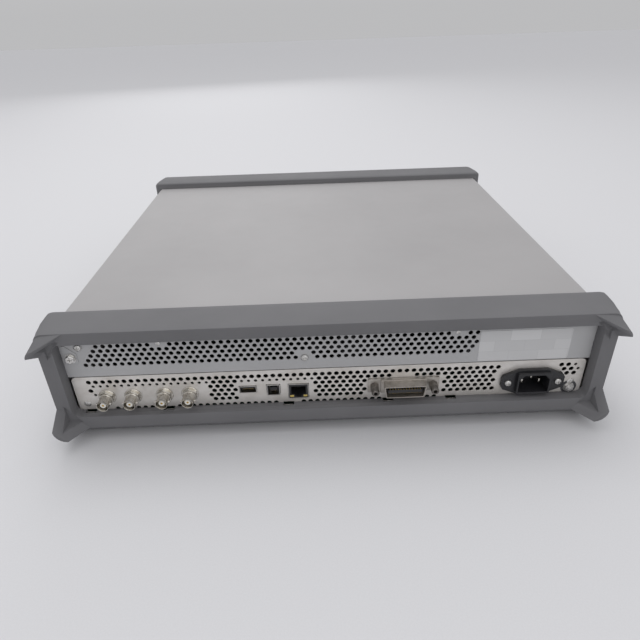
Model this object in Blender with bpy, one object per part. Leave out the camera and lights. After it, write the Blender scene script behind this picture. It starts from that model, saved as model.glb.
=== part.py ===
"""Bench function generator: a full-rack-width, two-unit-high instrument in two moulded corner bumpers.

Metres, +Z up. The front faces -Y and the rear faces +Y. The origin is the middle of the resting face.
"""

import math

import bmesh
import bpy
from mathutils import Vector

MM = 0.001
GAP = 0.3 * MM  # clearance between pieces that touch on the real object

# Body
BODY_WIDTH = 425.6 * MM
BODY_HEIGHT = 88.1 * MM
BODY_DEPTH = 402.0 * MM  # front panel face to rear panel face
SHEET = 1.2 * MM  # sheet metal of the cover and the rear panels
TRAY_SHEET = 1.5 * MM
TRAY_FLANGE = 22.0 * MM
SEAM_ABOVE_MIDDLE = 5.8 * MM  # joint between the two rear panels
LOWER_PANEL_SIDE = 9.3 * MM  # the lower panel stops this far inside each side of the body

# Bumpers
BUMPER_SIDE_WALL = 4.4 * MM  # outside the body at each side
BUMPER_BASE_WALL = 7.6 * MM  # under the body, and over it
BUMPER_BAND = 26.0 * MM  # length along the cover
BUMPER_LIP = 9.0 * MM  # how far the bars stand past the panels
BUMPER_CORNER = 7.0 * MM
BAND_SWELL = 2.6 * MM  # the band is this much wider at each side than the bars
UNDERCUT = 13.5 * MM  # rise of the rounded lower edge of a bar
SIDE_COVER = 8.3 * MM  # how far a bar covers the panel at each side
TOP_COVER = 3.6 * MM
REAR_BOTTOM_COVER = 17.5 * MM
FRONT_BOTTOM_COVER = 6.0 * MM
LIP_TAPER = 1.8 * MM  # the lip opening widens outwards by this at each side
EAR_REACH = 13.0 * MM  # how far the corner ears stand past the bars
EAR_LEG = 22.0 * MM  # length of an ear along its horizontal bar
EAR_WALL = 6.0 * MM
EAR_FLARE = 2.0 * MM
EAR_POCKET = 2.0 * MM  # depth of an ear's pocket into the bars
# Distances in from the bumper's top or base: at the bar, at the tip, the tip's radius, the leg's end
UPPER_EAR = (0.8 * MM, 7.5 * MM, 6.0 * MM, 20.5 * MM)
LOWER_EAR = (UNDERCUT, UNDERCUT - 3.0 * MM, 10.0 * MM, 34.0 * MM)
NOTCH_SIZE = (8.5 * MM, 4.0 * MM, 3.0 * MM)
NOTCH_X = (194.0 * MM, 131.0 * MM, 34.0 * MM, -47.0 * MM, -98.0 * MM)

# Rear connectors, measured from the middle of the panel (X) and up from the body's underside (Z)
CONNECTOR_RISE = 29.65 * MM
BNC_X = (178.9 * MM, 158.2 * MM, 133.0 * MM, 112.6 * MM)
USB_A_X = 66.0 * MM
USB_A_RISE = 31.65 * MM
USB_B_X = 45.6 * MM
USB_B_RISE = 30.25 * MM
LAN_X = 25.6 * MM
LAN_RISE = 28.35 * MM
GPIB_X = -58.8 * MM
GPIB_RISE = 31.55 * MM
GPIB_POST_SPACING = 47.0 * MM
INLET_FROM_SIDE = 50.5 * MM
INLET_RISE = 30.65 * MM
STUD_FROM_SIDE = 18.8 * MM
STUD_RISE = 22.05 * MM
CENTRE_SCREW_X = 19.3 * MM
CENTRE_SCREW_ABOVE_SEAM = 10.7 * MM
CORNER_SCREW_IN = (22.1 * MM, 10.85 * MM)  # from the body's side, and from its top
CAPTIVE_SCREW_IN = (14.6 * MM, 20.15 * MM)

# Sockets, as half width and half height
USB_A_BODY = (6.9 * MM, 3.3 * MM)
USB_A_MOUTH = (6.0 * MM, 2.45 * MM)
USB_A_TONGUE = (5.3 * MM, 0.9 * MM)
USB_A_TONGUE_RISE = 0.9 * MM
USB_B_BODY = (5.4 * MM, 5.3 * MM)
USB_B_MOUTH = (4.2 * MM, 4.2 * MM)
USB_B_TONGUE = (2.8 * MM, 1.5 * MM)
LAN_BODY = (8.1 * MM, 7.0 * MM)
LAN_MOUTH = (5.9 * MM, 4.0 * MM)
SOCKET_PROUD = 0.6 * MM
TONGUE_INSET = 1.5 * MM
GPIB_BODY = (17.5 * MM, 5.6 * MM)
GPIB_FLANGE = (5.0 * MM, 6.6 * MM, 1.5 * MM)  # past each post, half height, thickness
GPIB_REACH = 11.5 * MM
GPIB_TAPER = 1.8 * MM
GPIB_WALL = 1.1 * MM
GPIB_TONGUE = 1.6 * MM  # half height
GPIB_TAIL = 12.0 * MM
POST_RADIUS = 3.3 * MM
POST_LENGTH = 10.5 * MM
POST_BORE = 1.5 * MM
INLET_BODY = (13.4 * MM, 9.9 * MM)
INLET_MOUTH = (12.0 * MM, 8.0 * MM)
INLET_MOUTH_CORNER = 4.0 * MM
INLET_WING = (25.2 * MM, 5.2 * MM)  # half width, and half height at the ends
INLET_WING_THICKNESS = 3.0 * MM
INLET_REACH = 6.0 * MM
INLET_BEHIND = 18.0 * MM
INLET_SCREW_SPACING = 40.0 * MM
INLET_PIN = (1.0 * MM, 2.0 * MM)
INLET_PINS = ((-7.0 * MM, -2.0 * MM), (7.0 * MM, -2.0 * MM), (0.0, 2.6 * MM))

# Screws, as the radius of the shank and of each head
SCREW_SHANK = 1.5 * MM
SCREW_LENGTH = 5.0 * MM  # behind the panel's face
PANEL_HEAD = 2.9 * MM
CAPTIVE_HEAD = 4.0 * MM
INLET_HEAD = 2.8 * MM

# BNC jacks
BNC_BARREL = 4.8 * MM
BNC_BORE = 4.1 * MM
BNC_CORE = 2.4 * MM
BNC_THREAD = 4.6 * MM
BNC_FLANGE = 7.0 * MM
BNC_REACH = 13.0 * MM
BNC_TAIL = 12.0 * MM

# Front controls, X from the middle, Z from the body's middle height
FRONT_PLATE = 4.0 * MM
FRONT_RIM_DEPTH = 13.0 * MM
FRONT_RIM = 3.0 * MM
WINDOW_SIZE = (112.0 * MM, 58.0 * MM)
WINDOW_X = -112.0 * MM
WINDOW_RISE = 2.0 * MM
WINDOW_THICKNESS = 2.0 * MM
KEY_CLEARANCE = 0.4 * MM
KEY_PROUD = 2.0 * MM
KEY_FLANGE = 1.2 * MM
KEY_FLANGE_THICKNESS = 1.4 * MM
KEY_LENGTH = 10.0 * MM
SOFTKEY_SIZE = (12.0 * MM, 7.0 * MM)
SOFTKEY_X = -42.0 * MM
SOFTKEY_GAP = 4.6 * MM  # plate between two keys
PAD_SIZE = (12.0 * MM, 8.5 * MM)
PAD_X = 22.0 * MM
PAD_GAP = (4.0 * MM, 5.5 * MM)
OUTPUT_KEY_SIZE = (14.0 * MM, 7.5 * MM)
OUTPUT_KEY_X = (130.0 * MM, 176.0 * MM)
OUTPUT_KEY_RISE = 16.0 * MM
POWER_SIZE = (11.0 * MM, 11.0 * MM)
POWER_X = -190.0 * MM
POWER_RISE = -24.0 * MM
FRONT_BNC_X = (119.0 * MM, 142.0 * MM, 165.0 * MM, 188.0 * MM)
FRONT_BNC_DROP = 17.0 * MM
KNOB_X = 84.0 * MM
KNOB_RISE = 13.0 * MM
KNOB_RADIUS = 16.0 * MM
KNOB_DEPTH = 14.0 * MM
SHAFT_RADIUS = 3.0 * MM
FRONT_USB_X = 84.0 * MM
FRONT_USB_DROP = 24.0 * MM

# Inside
BOARD = 1.6 * MM
BOARD_RISE = 8.0 * MM  # main board above the tray
FRONT_BOARD_BEHIND = 17.0 * MM
SUPPLY_WIDTH = 92.0 * MM
SUPPLY_LENGTH = 190.0 * MM
SUPPLY_HEIGHT = 52.0 * MM
SUPPLY_FROM_REAR = 24.0 * MM
SHIELD_LOW = (60.0 * MM, -60.0 * MM)
SHIELD_SIZE = (130.0 * MM, 130.0 * MM, 20.0 * MM)
SINK_HALF = 40.0 * MM
SINK_HEIGHT = 26.0 * MM
SINK_BASE = 5.0 * MM
SINK_FINS = 8
SINK_FIN = 5.3 * MM
POST_HALF = 4.0 * MM  # of the square posts under the main board
FAN_CLEARANCE = 2.9 * MM  # over the main board and under the cover
FAN_DEPTH = 20.0 * MM
FAN_FROM_REAR = 30.0 * MM
FAN_X = -20.0 * MM
FAN_WALL = 2.5 * MM
FAN_HUB = 13.0 * MM
FAN_BLADES = 7
BLADE_TIP_GAP = 2.0 * MM
BLADE_LEAN = 4.0 * MM
BLADE_HALF = 0.7 * MM

ROUND = 20  # sides of a small round piece
SCREW_SIDES = 12
CORNER_STEPS = 5  # faces of a rounded corner

# Planes and heights worked out from the sizes above
REAR_Y = BODY_DEPTH / 2
FRONT_Y = -BODY_DEPTH / 2
HALF_W = BODY_WIDTH / 2
BASE_Z = BUMPER_BASE_WALL
TOP_Z = BASE_Z + BODY_HEIGHT
MID_Z = BASE_Z + BODY_HEIGHT / 2
BUMPER_HALF_W = HALF_W + BUMPER_SIDE_WALL
BUMPER_TOP = TOP_Z + BUMPER_BASE_WALL
SEAM_Z = MID_Z + SEAM_ABOVE_MIDDLE
PLATE_BACK_Y = FRONT_Y + FRONT_PLATE
RIM_BACK_Y = FRONT_Y + FRONT_RIM_DEPTH
INNER_HALF_W = HALF_W - SHEET - GAP
BOARD_Z = BASE_Z + TRAY_SHEET + BOARD_RISE
BOARD_FRONT_Y = FRONT_Y + 40 * MM
BOARD_BACK_Y = REAR_Y - 6 * MM
SUPPLY_X0 = -INNER_HALF_W + TRAY_SHEET + 3 * MM
SUPPLY_X1 = SUPPLY_X0 + SUPPLY_WIDTH
FAN_SIZE = TOP_Z - SHEET - (BOARD_Z + BOARD) - 2 * FAN_CLEARANCE
INLET_X = -(HALF_W - INLET_FROM_SIDE)
STUD_X = -(HALF_W - STUD_FROM_SIDE)
PANEL_SCREWS = {
    "panel_screw_centre": (CENTRE_SCREW_X, SEAM_Z + CENTRE_SCREW_ABOVE_SEAM, PANEL_HEAD),
    "panel_screw_corner": (HALF_W - CORNER_SCREW_IN[0], TOP_Z - CORNER_SCREW_IN[1], PANEL_HEAD),
    "captive_screw": (HALF_W - CAPTIVE_SCREW_IN[0], TOP_Z - CAPTIVE_SCREW_IN[1], CAPTIVE_HEAD),
}
PANEL_CUTOUTS = (
    (INLET_X, INLET_RISE, *INLET_BODY),
    (LAN_X, LAN_RISE, *LAN_BODY),
    (USB_A_X, USB_A_RISE, *USB_A_BODY),
    (USB_B_X, USB_B_RISE, *USB_B_BODY),
    (GPIB_X, GPIB_RISE, *GPIB_BODY),
)

for old in list(bpy.data.objects):
    bpy.data.objects.remove(old)


def material(name, colour, roughness, metallic=0.0):
    made = bpy.data.materials.new(name)
    made.use_nodes = True
    shader = made.node_tree.nodes["Principled BSDF"]
    shader.inputs["Base Color"].default_value = (*colour, 1.0)
    shader.inputs["Roughness"].default_value = roughness
    shader.inputs["Metallic"].default_value = metallic
    made.diffuse_color = (*colour, 1.0)
    return made


COVER_PAINT = material("cover_paint", (0.43, 0.42, 0.43), 0.55)
PANEL_PAINT = material("panel_paint", (0.30, 0.30, 0.31), 0.5, 0.4)
ZINC = material("zinc_plate", (0.46, 0.44, 0.40), 0.38, 0.85)
BUMPER_RUBBER = material("bumper_rubber", (0.13, 0.13, 0.14), 0.6)
NICKEL = material("nickel", (0.52, 0.50, 0.47), 0.28, 1.0)
BLACK_PLASTIC = material("black_plastic", (0.012, 0.012, 0.016), 0.35)
BEZEL_PLASTIC = material("bezel_plastic", (0.30, 0.30, 0.31), 0.5)
KEY_RUBBER = material("key_rubber", (0.52, 0.52, 0.52), 0.6)
DARK_KEY = material("dark_key", (0.10, 0.10, 0.11), 0.6)
WINDOW_GLASS = material("window_glass", (0.03, 0.03, 0.04), 0.08)
BOARD_GREEN = material("board_green", (0.03, 0.17, 0.08), 0.5)
STEEL = material("steel", (0.45, 0.45, 0.46), 0.35, 1.0)


# Building blocks

def finish(name, mesh_data, paint, smooth=False):
    """An object made from a bmesh, with its faces pointing out."""
    bmesh.ops.recalc_face_normals(mesh_data, faces=mesh_data.faces)
    mesh = bpy.data.meshes.new(name)
    mesh_data.to_mesh(mesh)
    mesh_data.free()
    if paint:
        mesh.materials.append(paint)
    if smooth:
        mesh.shade_smooth()
        mesh.set_sharp_from_angle(angle=math.radians(35))
    made = bpy.data.objects.new(name, mesh)
    bpy.context.scene.collection.objects.link(made)
    return made


def add_box(shape, low, high):
    verts = bmesh.ops.create_cube(shape, size=1.0)["verts"]
    low, high = Vector(low), Vector(high)
    for vert in verts:
        for axis in range(3):
            vert.co[axis] = high[axis] if vert.co[axis] > 0 else low[axis]


def add_loft(shape, rings):
    """A closed solid through rings that hold the same number of points."""
    made = [[shape.verts.new(point) for point in ring] for ring in rings]
    count = len(made[0])
    for first, second in zip(made, made[1:]):
        for i in range(count):
            j = (i + 1) % count
            shape.faces.new((first[i], first[j], second[j], second[i]))
    shape.faces.new(made[0])
    shape.faces.new(reversed(made[-1]))


def add_prism(shape, outline, y0, y1):
    """An outline of (x, z) points extruded along Y."""
    add_loft(shape, [[(x, y, z) for x, z in outline] for y in (y0, y1)])


def add_turned(shape, profile, x, z, sides=ROUND):
    """A solid turned about a line along Y. The profile is (radius, y) from axis to axis."""
    rings = []
    for radius, y in profile:
        if radius == 0:
            rings.append([shape.verts.new((x, y, z))])
            continue
        turn = [2 * math.pi * i / sides for i in range(sides)]
        ring = [(x + radius * math.cos(a), y, z + radius * math.sin(a)) for a in turn]
        rings.append([shape.verts.new(point) for point in ring])
    for first, second in zip(rings, rings[1:]):
        for i in range(sides):
            j = (i + 1) % sides
            corners = [first[i % len(first)], first[j % len(first)]]
            corners += [second[j % len(second)], second[i % len(second)]]
            shape.faces.new(list(dict.fromkeys(corners)))


def add_hull(shape, points):
    verts = [shape.verts.new(point) for point in points]
    made = bmesh.ops.convex_hull(shape, input=verts)
    bmesh.ops.delete(shape, geom=made["geom_interior"], context="VERTS")


def rounded(half_w, z0, z1, radius, x=0.0, steps=CORNER_STEPS):
    """A rectangle with round corners, as (x, z) points."""
    outline = []
    corners = ((1, z1, 0), (-1, z1, 90), (-1, z0, 180), (1, z0, 270))
    for side, edge, start in corners:
        across = x + side * (half_w - radius)
        up = edge - radius if edge == z1 else edge + radius
        for i in range(steps + 1):
            angle = math.radians(start + 90 * i / steps)
            outline.append((across + radius * math.cos(angle), up + radius * math.sin(angle)))
    return outline


def combine(target, shape, operation):
    """Cut a bmesh from an object, or join it on."""
    helper = finish(f"{target.name}_{operation.lower()}_{len(target.modifiers)}", shape, None)
    helper.hide_render = True
    helper.display_type = "WIRE"
    step = target.modifiers.new(operation.title(), "BOOLEAN")
    step.operation = operation
    step.object = helper


def box_node(name, low, high, paint):
    shape = bmesh.new()
    add_box(shape, low, high)
    return finish(name, shape, paint)


def open_box(name, low, high, wall, paint):
    """A folded sheet case, open underneath."""
    case = box_node(name, low, high, paint)
    inside = bmesh.new()
    inner_low = (low[0] + wall, low[1] + wall, low[2] - wall)
    add_box(inside, inner_low, tuple(edge - wall for edge in high))
    combine(case, inside, "DIFFERENCE")


def turned_node(name, profile, x, z, paint, sides=ROUND):
    shape = bmesh.new()
    add_turned(shape, profile, x, z, sides)
    return finish(name, shape, paint, smooth=True)


# Sheet metal

def build_cover():
    """Inverted U of painted sheet: the top and both sides."""
    x0, x1 = HALF_W - SHEET, HALF_W
    z_under = TOP_Z - SHEET
    outline = [(-x1, BASE_Z), (-x1, TOP_Z), (x1, TOP_Z), (x1, BASE_Z)]
    outline += [(x0, BASE_Z), (x0, z_under), (-x0, z_under), (-x0, BASE_Z)]
    shape = bmesh.new()
    add_prism(shape, outline, RIM_BACK_Y + GAP, REAR_Y)
    finish("top_cover", shape, COVER_PAINT)


def build_tray():
    """Bottom pan with a low flange inside each cover side, and posts that carry the main board."""
    x1 = INNER_HALF_W
    x0 = x1 - TRAY_SHEET
    z0, z1 = BASE_Z, BASE_Z + TRAY_SHEET
    outline = [(-x1, z0), (x1, z0), (x1, z1 + TRAY_FLANGE), (x0, z1 + TRAY_FLANGE)]
    outline += [(x0, z1), (-x0, z1), (-x0, z1 + TRAY_FLANGE), (-x1, z1 + TRAY_FLANGE)]
    shape = bmesh.new()
    add_prism(shape, outline, RIM_BACK_Y + GAP, REAR_Y - SHEET - GAP)
    tray = finish("chassis_tray", shape, ZINC)
    posts = bmesh.new()
    for x in (SUPPLY_X1 + 15 * MM, INNER_HALF_W - 20 * MM):
        for y in (BOARD_FRONT_Y + 12 * MM, BOARD_BACK_Y - 30 * MM):
            low = (x - POST_HALF, y - POST_HALF, z0 + TRAY_SHEET / 2)
            add_box(posts, low, (x + POST_HALF, y + POST_HALF, BOARD_Z - GAP))
    combine(tray, posts, "UNION")


def hole(shape, x, z, half_w, half_h, y0, y1):
    add_box(shape, (x - half_w, y0, z - half_h), (x + half_w, y1, z + half_h))


def build_rear_panels():
    """The painted upper panel and the bare plated lower panel that carries the connectors."""
    y0, y1 = REAR_Y - SHEET, REAR_Y
    through = (y0 - 1 * MM, y1 + 1 * MM)
    low = (-INNER_HALF_W, y0, SEAM_Z + GAP / 2)
    upper = box_node("rear_panel_upper", low, (INNER_HALF_W, y1, TOP_Z - SHEET - GAP), PANEL_PAINT)
    holes = bmesh.new()
    for x, z, _ in PANEL_SCREWS.values():
        add_turned(holes, tube_profile(SCREW_SHANK + GAP, *through), x, z, SCREW_SIDES)
    combine(upper, holes, "DIFFERENCE")

    half = HALF_W - LOWER_PANEL_SIDE
    low = (-half, y0, BASE_Z + TRAY_SHEET + GAP)
    lower = box_node("rear_panel_lower", low, (half, y1, SEAM_Z - GAP / 2), ZINC)
    holes = bmesh.new()
    for x in BNC_X:
        add_turned(holes, tube_profile(BNC_THREAD + GAP, *through), x, BASE_Z + CONNECTOR_RISE)
    bore = tube_profile(SCREW_SHANK + GAP, *through)
    add_turned(holes, bore, STUD_X, BASE_Z + STUD_RISE, SCREW_SIDES)
    for x, up, half_w, half_h in PANEL_CUTOUTS:
        hole(holes, x, BASE_Z + up, half_w + GAP, half_h + GAP, *through)
    for side in (-1, 1):
        x = GPIB_X + side * GPIB_POST_SPACING / 2
        add_turned(holes, bore, x, BASE_Z + GPIB_RISE, SCREW_SIDES)
        x = INLET_X + side * INLET_SCREW_SPACING / 2
        add_turned(holes, bore, x, BASE_Z + INLET_RISE, SCREW_SIDES)
    combine(lower, holes, "DIFFERENCE")


def tube_profile(radius, y0, y1):
    return [(0, y0), (radius, y0), (radius, y1), (0, y1)]


# Bumpers

def bumper_section(y, narrower, lower_top, raised_bottom, radius):
    half_w = BUMPER_HALF_W - narrower
    outline = rounded(half_w, raised_bottom, BUMPER_TOP - lower_top, radius)
    return [(x, y, z) for x, z in outline]


def ear_points(side, up, y_bar, out):
    """Outer points of one corner ear, and those of the pocket inside it."""

    def at(u, v, w):
        """A point in from the side, in from the top or base, and out past the bar."""
        x = side * (BUMPER_HALF_W - u)
        z = BUMPER_TOP - v if up else v
        return (x, y_bar + out * w, z)

    base, tip, tip_radius, leg_end = UPPER_EAR if up else LOWER_EAR
    sunk = -3 * MM
    outer = []
    for u0, v0, radius, w in (
        (0.3 * MM, base, BUMPER_CORNER, sunk),
        (-EAR_FLARE, tip, tip_radius, EAR_REACH),
    ):
        for i in range(6):
            angle = math.radians(90 * i / 5)
            u = u0 + radius * (1 - math.sin(angle))
            outer.append(at(u, v0 + radius * (1 - math.cos(angle)), w))
    for w in (sunk, 0.0):
        outer += [at(EAR_LEG, base + 0.2 * MM, w), at(0.3 * MM, leg_end, w)]
    v0, reach = base + EAR_WALL, EAR_LEG - EAR_WALL
    v1 = tip + (tip_radius if up else EAR_WALL)
    pocket = [
        at(EAR_WALL, v0, -EAR_POCKET),
        at(EAR_WALL + 0.6 * reach, v0, -EAR_POCKET),
        at(EAR_WALL, leg_end, -EAR_POCKET),
        at(EAR_WALL - EAR_FLARE, v1, EAR_REACH + 2 * MM),
        at(EAR_WALL + 2 * reach, v1, EAR_REACH + 2 * MM),
        at(EAR_WALL - EAR_FLARE, v1 + 2 * reach, EAR_REACH + 2 * MM),
    ]
    return outer, pocket


def build_bumper(name, out, bottom_cover, notches):
    """One moulded ring round an end of the body: a band, four bars past the panel, and four corner ears."""
    y_panel = out * BODY_DEPTH / 2
    y_bar = y_panel + out * BUMPER_LIP
    sections = (
        (-BUMPER_BAND, 1.0 * MM, 1.6 * MM, 1.6 * MM, 3.0 * MM),
        (-BUMPER_BAND + 1.0 * MM, -0.8 * MM, 0.7 * MM, 0.7 * MM, 3.6 * MM),
        (-BUMPER_BAND + 3.0 * MM, 0.2 * MM - BAND_SWELL, 0.1 * MM, 0.1 * MM, 4.5 * MM),
        (-BUMPER_BAND + 7.0 * MM, -BAND_SWELL, 0.0, 0.0, 5.0 * MM),
        (-10.0 * MM, -BAND_SWELL, 0.0, 0.0, 6.0 * MM),
        (-4.0 * MM, -0.75 * BAND_SWELL, 0.0, 0.12 * UNDERCUT, BUMPER_CORNER),
        (2.0 * MM, -0.4 * BAND_SWELL, 0.0, 0.42 * UNDERCUT, BUMPER_CORNER),
        (6.0 * MM, 0.0, 0.1 * MM, 0.72 * UNDERCUT, BUMPER_CORNER),
        (BUMPER_LIP, 0.0, 0.8 * MM, UNDERCUT, BUMPER_CORNER),
    )
    shape = bmesh.new()
    add_loft(shape, [bumper_section(y_panel + out * y, *rest) for y, *rest in sections])
    ring = finish(name, shape, BUMPER_RUBBER, smooth=True)

    ears, pockets = bmesh.new(), bmesh.new()
    for side in (-1, 1):
        for up in (False, True):
            outer, pocket = ear_points(side, up, y_bar, out)
            add_hull(ears, outer)
            add_hull(pockets, pocket)
    combine(ring, ears, "UNION")

    cut = bmesh.new()
    half_w = HALF_W + GAP
    front_end = y_panel - out * (BUMPER_BAND + 5 * MM)
    y0, y1 = sorted((front_end, y_panel + out * GAP))
    add_box(cut, (-half_w, y0, BASE_Z - GAP), (half_w, y1, TOP_Z + GAP))
    combine(ring, cut, "DIFFERENCE")

    opening = bmesh.new()
    rings = []
    for wider, y in ((0.0, y_panel - out * 2 * MM), (LIP_TAPER, y_bar + out * 0.5 * MM)):
        z0 = BASE_Z + bottom_cover - 0.4 * wider
        z1 = TOP_Z - TOP_COVER + 0.2 * wider
        outline = rounded(HALF_W - SIDE_COVER + wider, z0, z1, 6 * MM)
        rings.append([(x, y, z) for x, z in outline])
    add_loft(opening, rings)
    combine(ring, opening, "DIFFERENCE")
    combine(ring, pockets, "DIFFERENCE")

    if notches:
        slots = bmesh.new()
        wide, deep, high = NOTCH_SIZE
        z1 = BASE_Z + bottom_cover
        for x in NOTCH_X:
            low = (x - wide / 2, REAR_Y - 2 * MM, z1 - high)
            add_box(slots, low, (x + wide / 2, REAR_Y + deep, z1 + 2 * MM))
        combine(ring, slots, "DIFFERENCE")


# Rear connectors

def bnc(name, x, z, y_face, out):
    """A bulkhead jack: threaded tail, flange, barrel, and a core inside the barrel."""
    flange_y = y_face + out * GAP
    tip = y_face + out * BNC_REACH
    profile = [
        (0, y_face - out * BNC_TAIL),
        (BNC_THREAD, y_face - out * BNC_TAIL),
        (BNC_THREAD, flange_y),
        (BNC_FLANGE, flange_y),
        (BNC_FLANGE, flange_y + out * 2.2 * MM),
        (BNC_BARREL, flange_y + out * 2.2 * MM),
        (BNC_BARREL, tip),
        (BNC_BORE, tip),
        (BNC_BORE, tip - out * 8 * MM),
        (BNC_CORE, tip - out * 8 * MM),
        (BNC_CORE, tip - out * 1.5 * MM),
        (0, tip - out * 1.5 * MM),
    ]
    turned_node(name, profile, x, z, NICKEL)


def socket(name, x, up, body, mouth, depth, tongue=None, rise=0.0):
    """A board-mounted socket: a shell in its panel cut-out, its mouth and the tongue inside."""
    z = BASE_Z + up
    face = REAR_Y + SOCKET_PROUD
    half_w, half_h = body
    low = (x - half_w, REAR_Y - depth, z - half_h)
    shell = box_node(name, low, (x + half_w, face, z + half_h), STEEL)
    cut = bmesh.new()
    hole(cut, x, z, *mouth, REAR_Y - depth + 3 * MM, face + 1 * MM)
    combine(shell, cut, "DIFFERENCE")
    if tongue:
        inner = bmesh.new()
        hole(inner, x, z + rise, *tongue, REAR_Y - depth + 1 * MM, face - TONGUE_INSET)
        combine(shell, inner, "UNION")


def build_gpib():
    """24-way ribbon connector: a flange on the panel and a shell that is wider at the top."""
    z = BASE_Z + GPIB_RISE
    y = REAR_Y + GAP
    past_post, half_h, thickness = GPIB_FLANGE
    half_w = GPIB_POST_SPACING / 2 + past_post
    low = (GPIB_X - half_w, y, z - half_h)
    high = (GPIB_X + half_w, y + thickness, z + half_h)
    connector = box_node("gpib_connector", low, high, NICKEL)
    wide, tall = GPIB_BODY
    face = y + GPIB_REACH
    shell, hollow, tongue, tail, bores = (bmesh.new() for _ in range(5))
    add_prism(shell, ribbon_outline(z, wide, tall), y + thickness / 2, face)
    combine(connector, shell, "UNION")
    inner = ribbon_outline(z, wide - GPIB_WALL, tall - GPIB_WALL)
    add_prism(hollow, inner, y + 2 * thickness, face + 1 * MM)
    combine(connector, hollow, "DIFFERENCE")
    hole(tongue, GPIB_X, z, wide - 3 * GPIB_WALL, GPIB_TONGUE, y + thickness, face - TONGUE_INSET)
    combine(connector, tongue, "UNION")
    hole(tail, GPIB_X, z, wide - GPIB_TAPER, tall - GPIB_WALL, REAR_Y - GPIB_TAIL, y + thickness / 2)
    combine(connector, tail, "UNION")
    for side, label in ((-1, "right"), (1, "left")):
        x = GPIB_X + side * GPIB_POST_SPACING / 2
        bore = tube_profile(SCREW_SHANK + GAP, y - 1 * MM, y + thickness + 1 * MM)
        add_turned(bores, bore, x, z, SCREW_SIDES)
        foot = y + thickness + GAP
        tip = foot + POST_LENGTH
        post = [
            (0, REAR_Y - SCREW_LENGTH),
            (SCREW_SHANK, REAR_Y - SCREW_LENGTH),
            (SCREW_SHANK, foot),
            (POST_RADIUS, foot),
            (POST_RADIUS, tip),
            (POST_BORE, tip),
            (POST_BORE, foot + POST_LENGTH / 2),
            (0, foot + POST_LENGTH / 2),
        ]
        turned_node(f"gpib_post_{label}", post, x, z, STEEL, SCREW_SIDES)
    combine(connector, bores, "DIFFERENCE")


def ribbon_outline(z, wide, tall):
    lower = wide - GPIB_TAPER
    corners = ((-wide, tall), (wide, tall), (lower, -tall), (-lower, -tall))
    return [(GPIB_X + across, z + up) for across, up in corners]


def build_inlet():
    """Three-pin mains inlet with its flange, held by two screws."""
    z = BASE_Z + INLET_RISE
    y = REAR_Y + GAP
    half_w, half_h = INLET_BODY
    wing_w, wing_h = INLET_WING
    tall = half_h + 1.6 * MM
    corners = ((-half_w, tall), (half_w, tall), (wing_w, wing_h), (wing_w, -wing_h))
    corners += ((half_w, -tall), (-half_w, -tall), (-wing_w, -wing_h), (-wing_w, wing_h))
    shape = bmesh.new()
    outline = [(INLET_X + across, z + up) for across, up in corners]
    add_prism(shape, outline, y, y + INLET_WING_THICKNESS)
    inlet = finish("ac_inlet", shape, BLACK_PLASTIC)
    boss, hollow, pins, bores = (bmesh.new() for _ in range(4))
    hole(boss, INLET_X, z, half_w, half_h, REAR_Y - INLET_BEHIND, y + INLET_REACH)
    combine(inlet, boss, "UNION")
    mouth_w, mouth_h = INLET_MOUTH
    cut = INLET_MOUTH_CORNER
    corners = ((-mouth_w, -mouth_h), (mouth_w, -mouth_h), (mouth_w, mouth_h - cut))
    corners += ((mouth_w - cut, mouth_h), (cut - mouth_w, mouth_h), (-mouth_w, mouth_h - cut))
    outline = [(INLET_X + across, z + up) for across, up in corners]
    floor_y = REAR_Y - INLET_BEHIND + 6 * MM
    add_prism(hollow, outline, floor_y, y + INLET_REACH + 1 * MM)
    combine(inlet, hollow, "DIFFERENCE")
    for across, up in INLET_PINS:
        hole(pins, INLET_X + across, z + up, *INLET_PIN, floor_y - 3 * MM, REAR_Y + 2 * MM)
    combine(inlet, pins, "UNION")
    for side, label in ((-1, "right"), (1, "left")):
        x = INLET_X + side * INLET_SCREW_SPACING / 2
        bore = tube_profile(SCREW_SHANK + GAP, y - 1 * MM, y + INLET_WING_THICKNESS + 1 * MM)
        add_turned(bores, bore, x, z, SCREW_SIDES)
        screw(f"inlet_screw_{label}", x, z, y + INLET_WING_THICKNESS, INLET_HEAD)
    combine(inlet, bores, "DIFFERENCE")


def screw(name, x, z, seat_y, head):
    """A pan-head screw whose shank ends behind the panel."""
    profile = [
        (0, REAR_Y - SCREW_LENGTH),
        (SCREW_SHANK, REAR_Y - SCREW_LENGTH),
        (SCREW_SHANK, seat_y + GAP),
        (head, seat_y + GAP),
        (head, seat_y + GAP + 0.9 * MM),
        (head * 0.62, seat_y + GAP + 1.8 * MM),
        (0, seat_y + GAP + 1.9 * MM),
    ]
    turned_node(name, profile, x, z, STEEL, SCREW_SIDES)


def build_rear_connectors():
    for number, x in enumerate(BNC_X, 1):
        bnc(f"bnc_rear_{number}", x, BASE_Z + CONNECTOR_RISE, REAR_Y, 1)
    tongue = (USB_A_TONGUE, USB_A_TONGUE_RISE)
    socket("usb_a_rear", USB_A_X, USB_A_RISE, USB_A_BODY, USB_A_MOUTH, 14 * MM, *tongue)
    socket("usb_b_rear", USB_B_X, USB_B_RISE, USB_B_BODY, USB_B_MOUTH, 16 * MM, USB_B_TONGUE)
    socket("lan_jack", LAN_X, LAN_RISE, LAN_BODY, LAN_MOUTH, 20 * MM)
    build_gpib()
    build_inlet()
    screw("ground_stud", STUD_X, BASE_Z + STUD_RISE, REAR_Y, CAPTIVE_HEAD)
    for name, (x, z, head) in PANEL_SCREWS.items():
        screw(name, x, z, REAR_Y, head)


# Front

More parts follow.
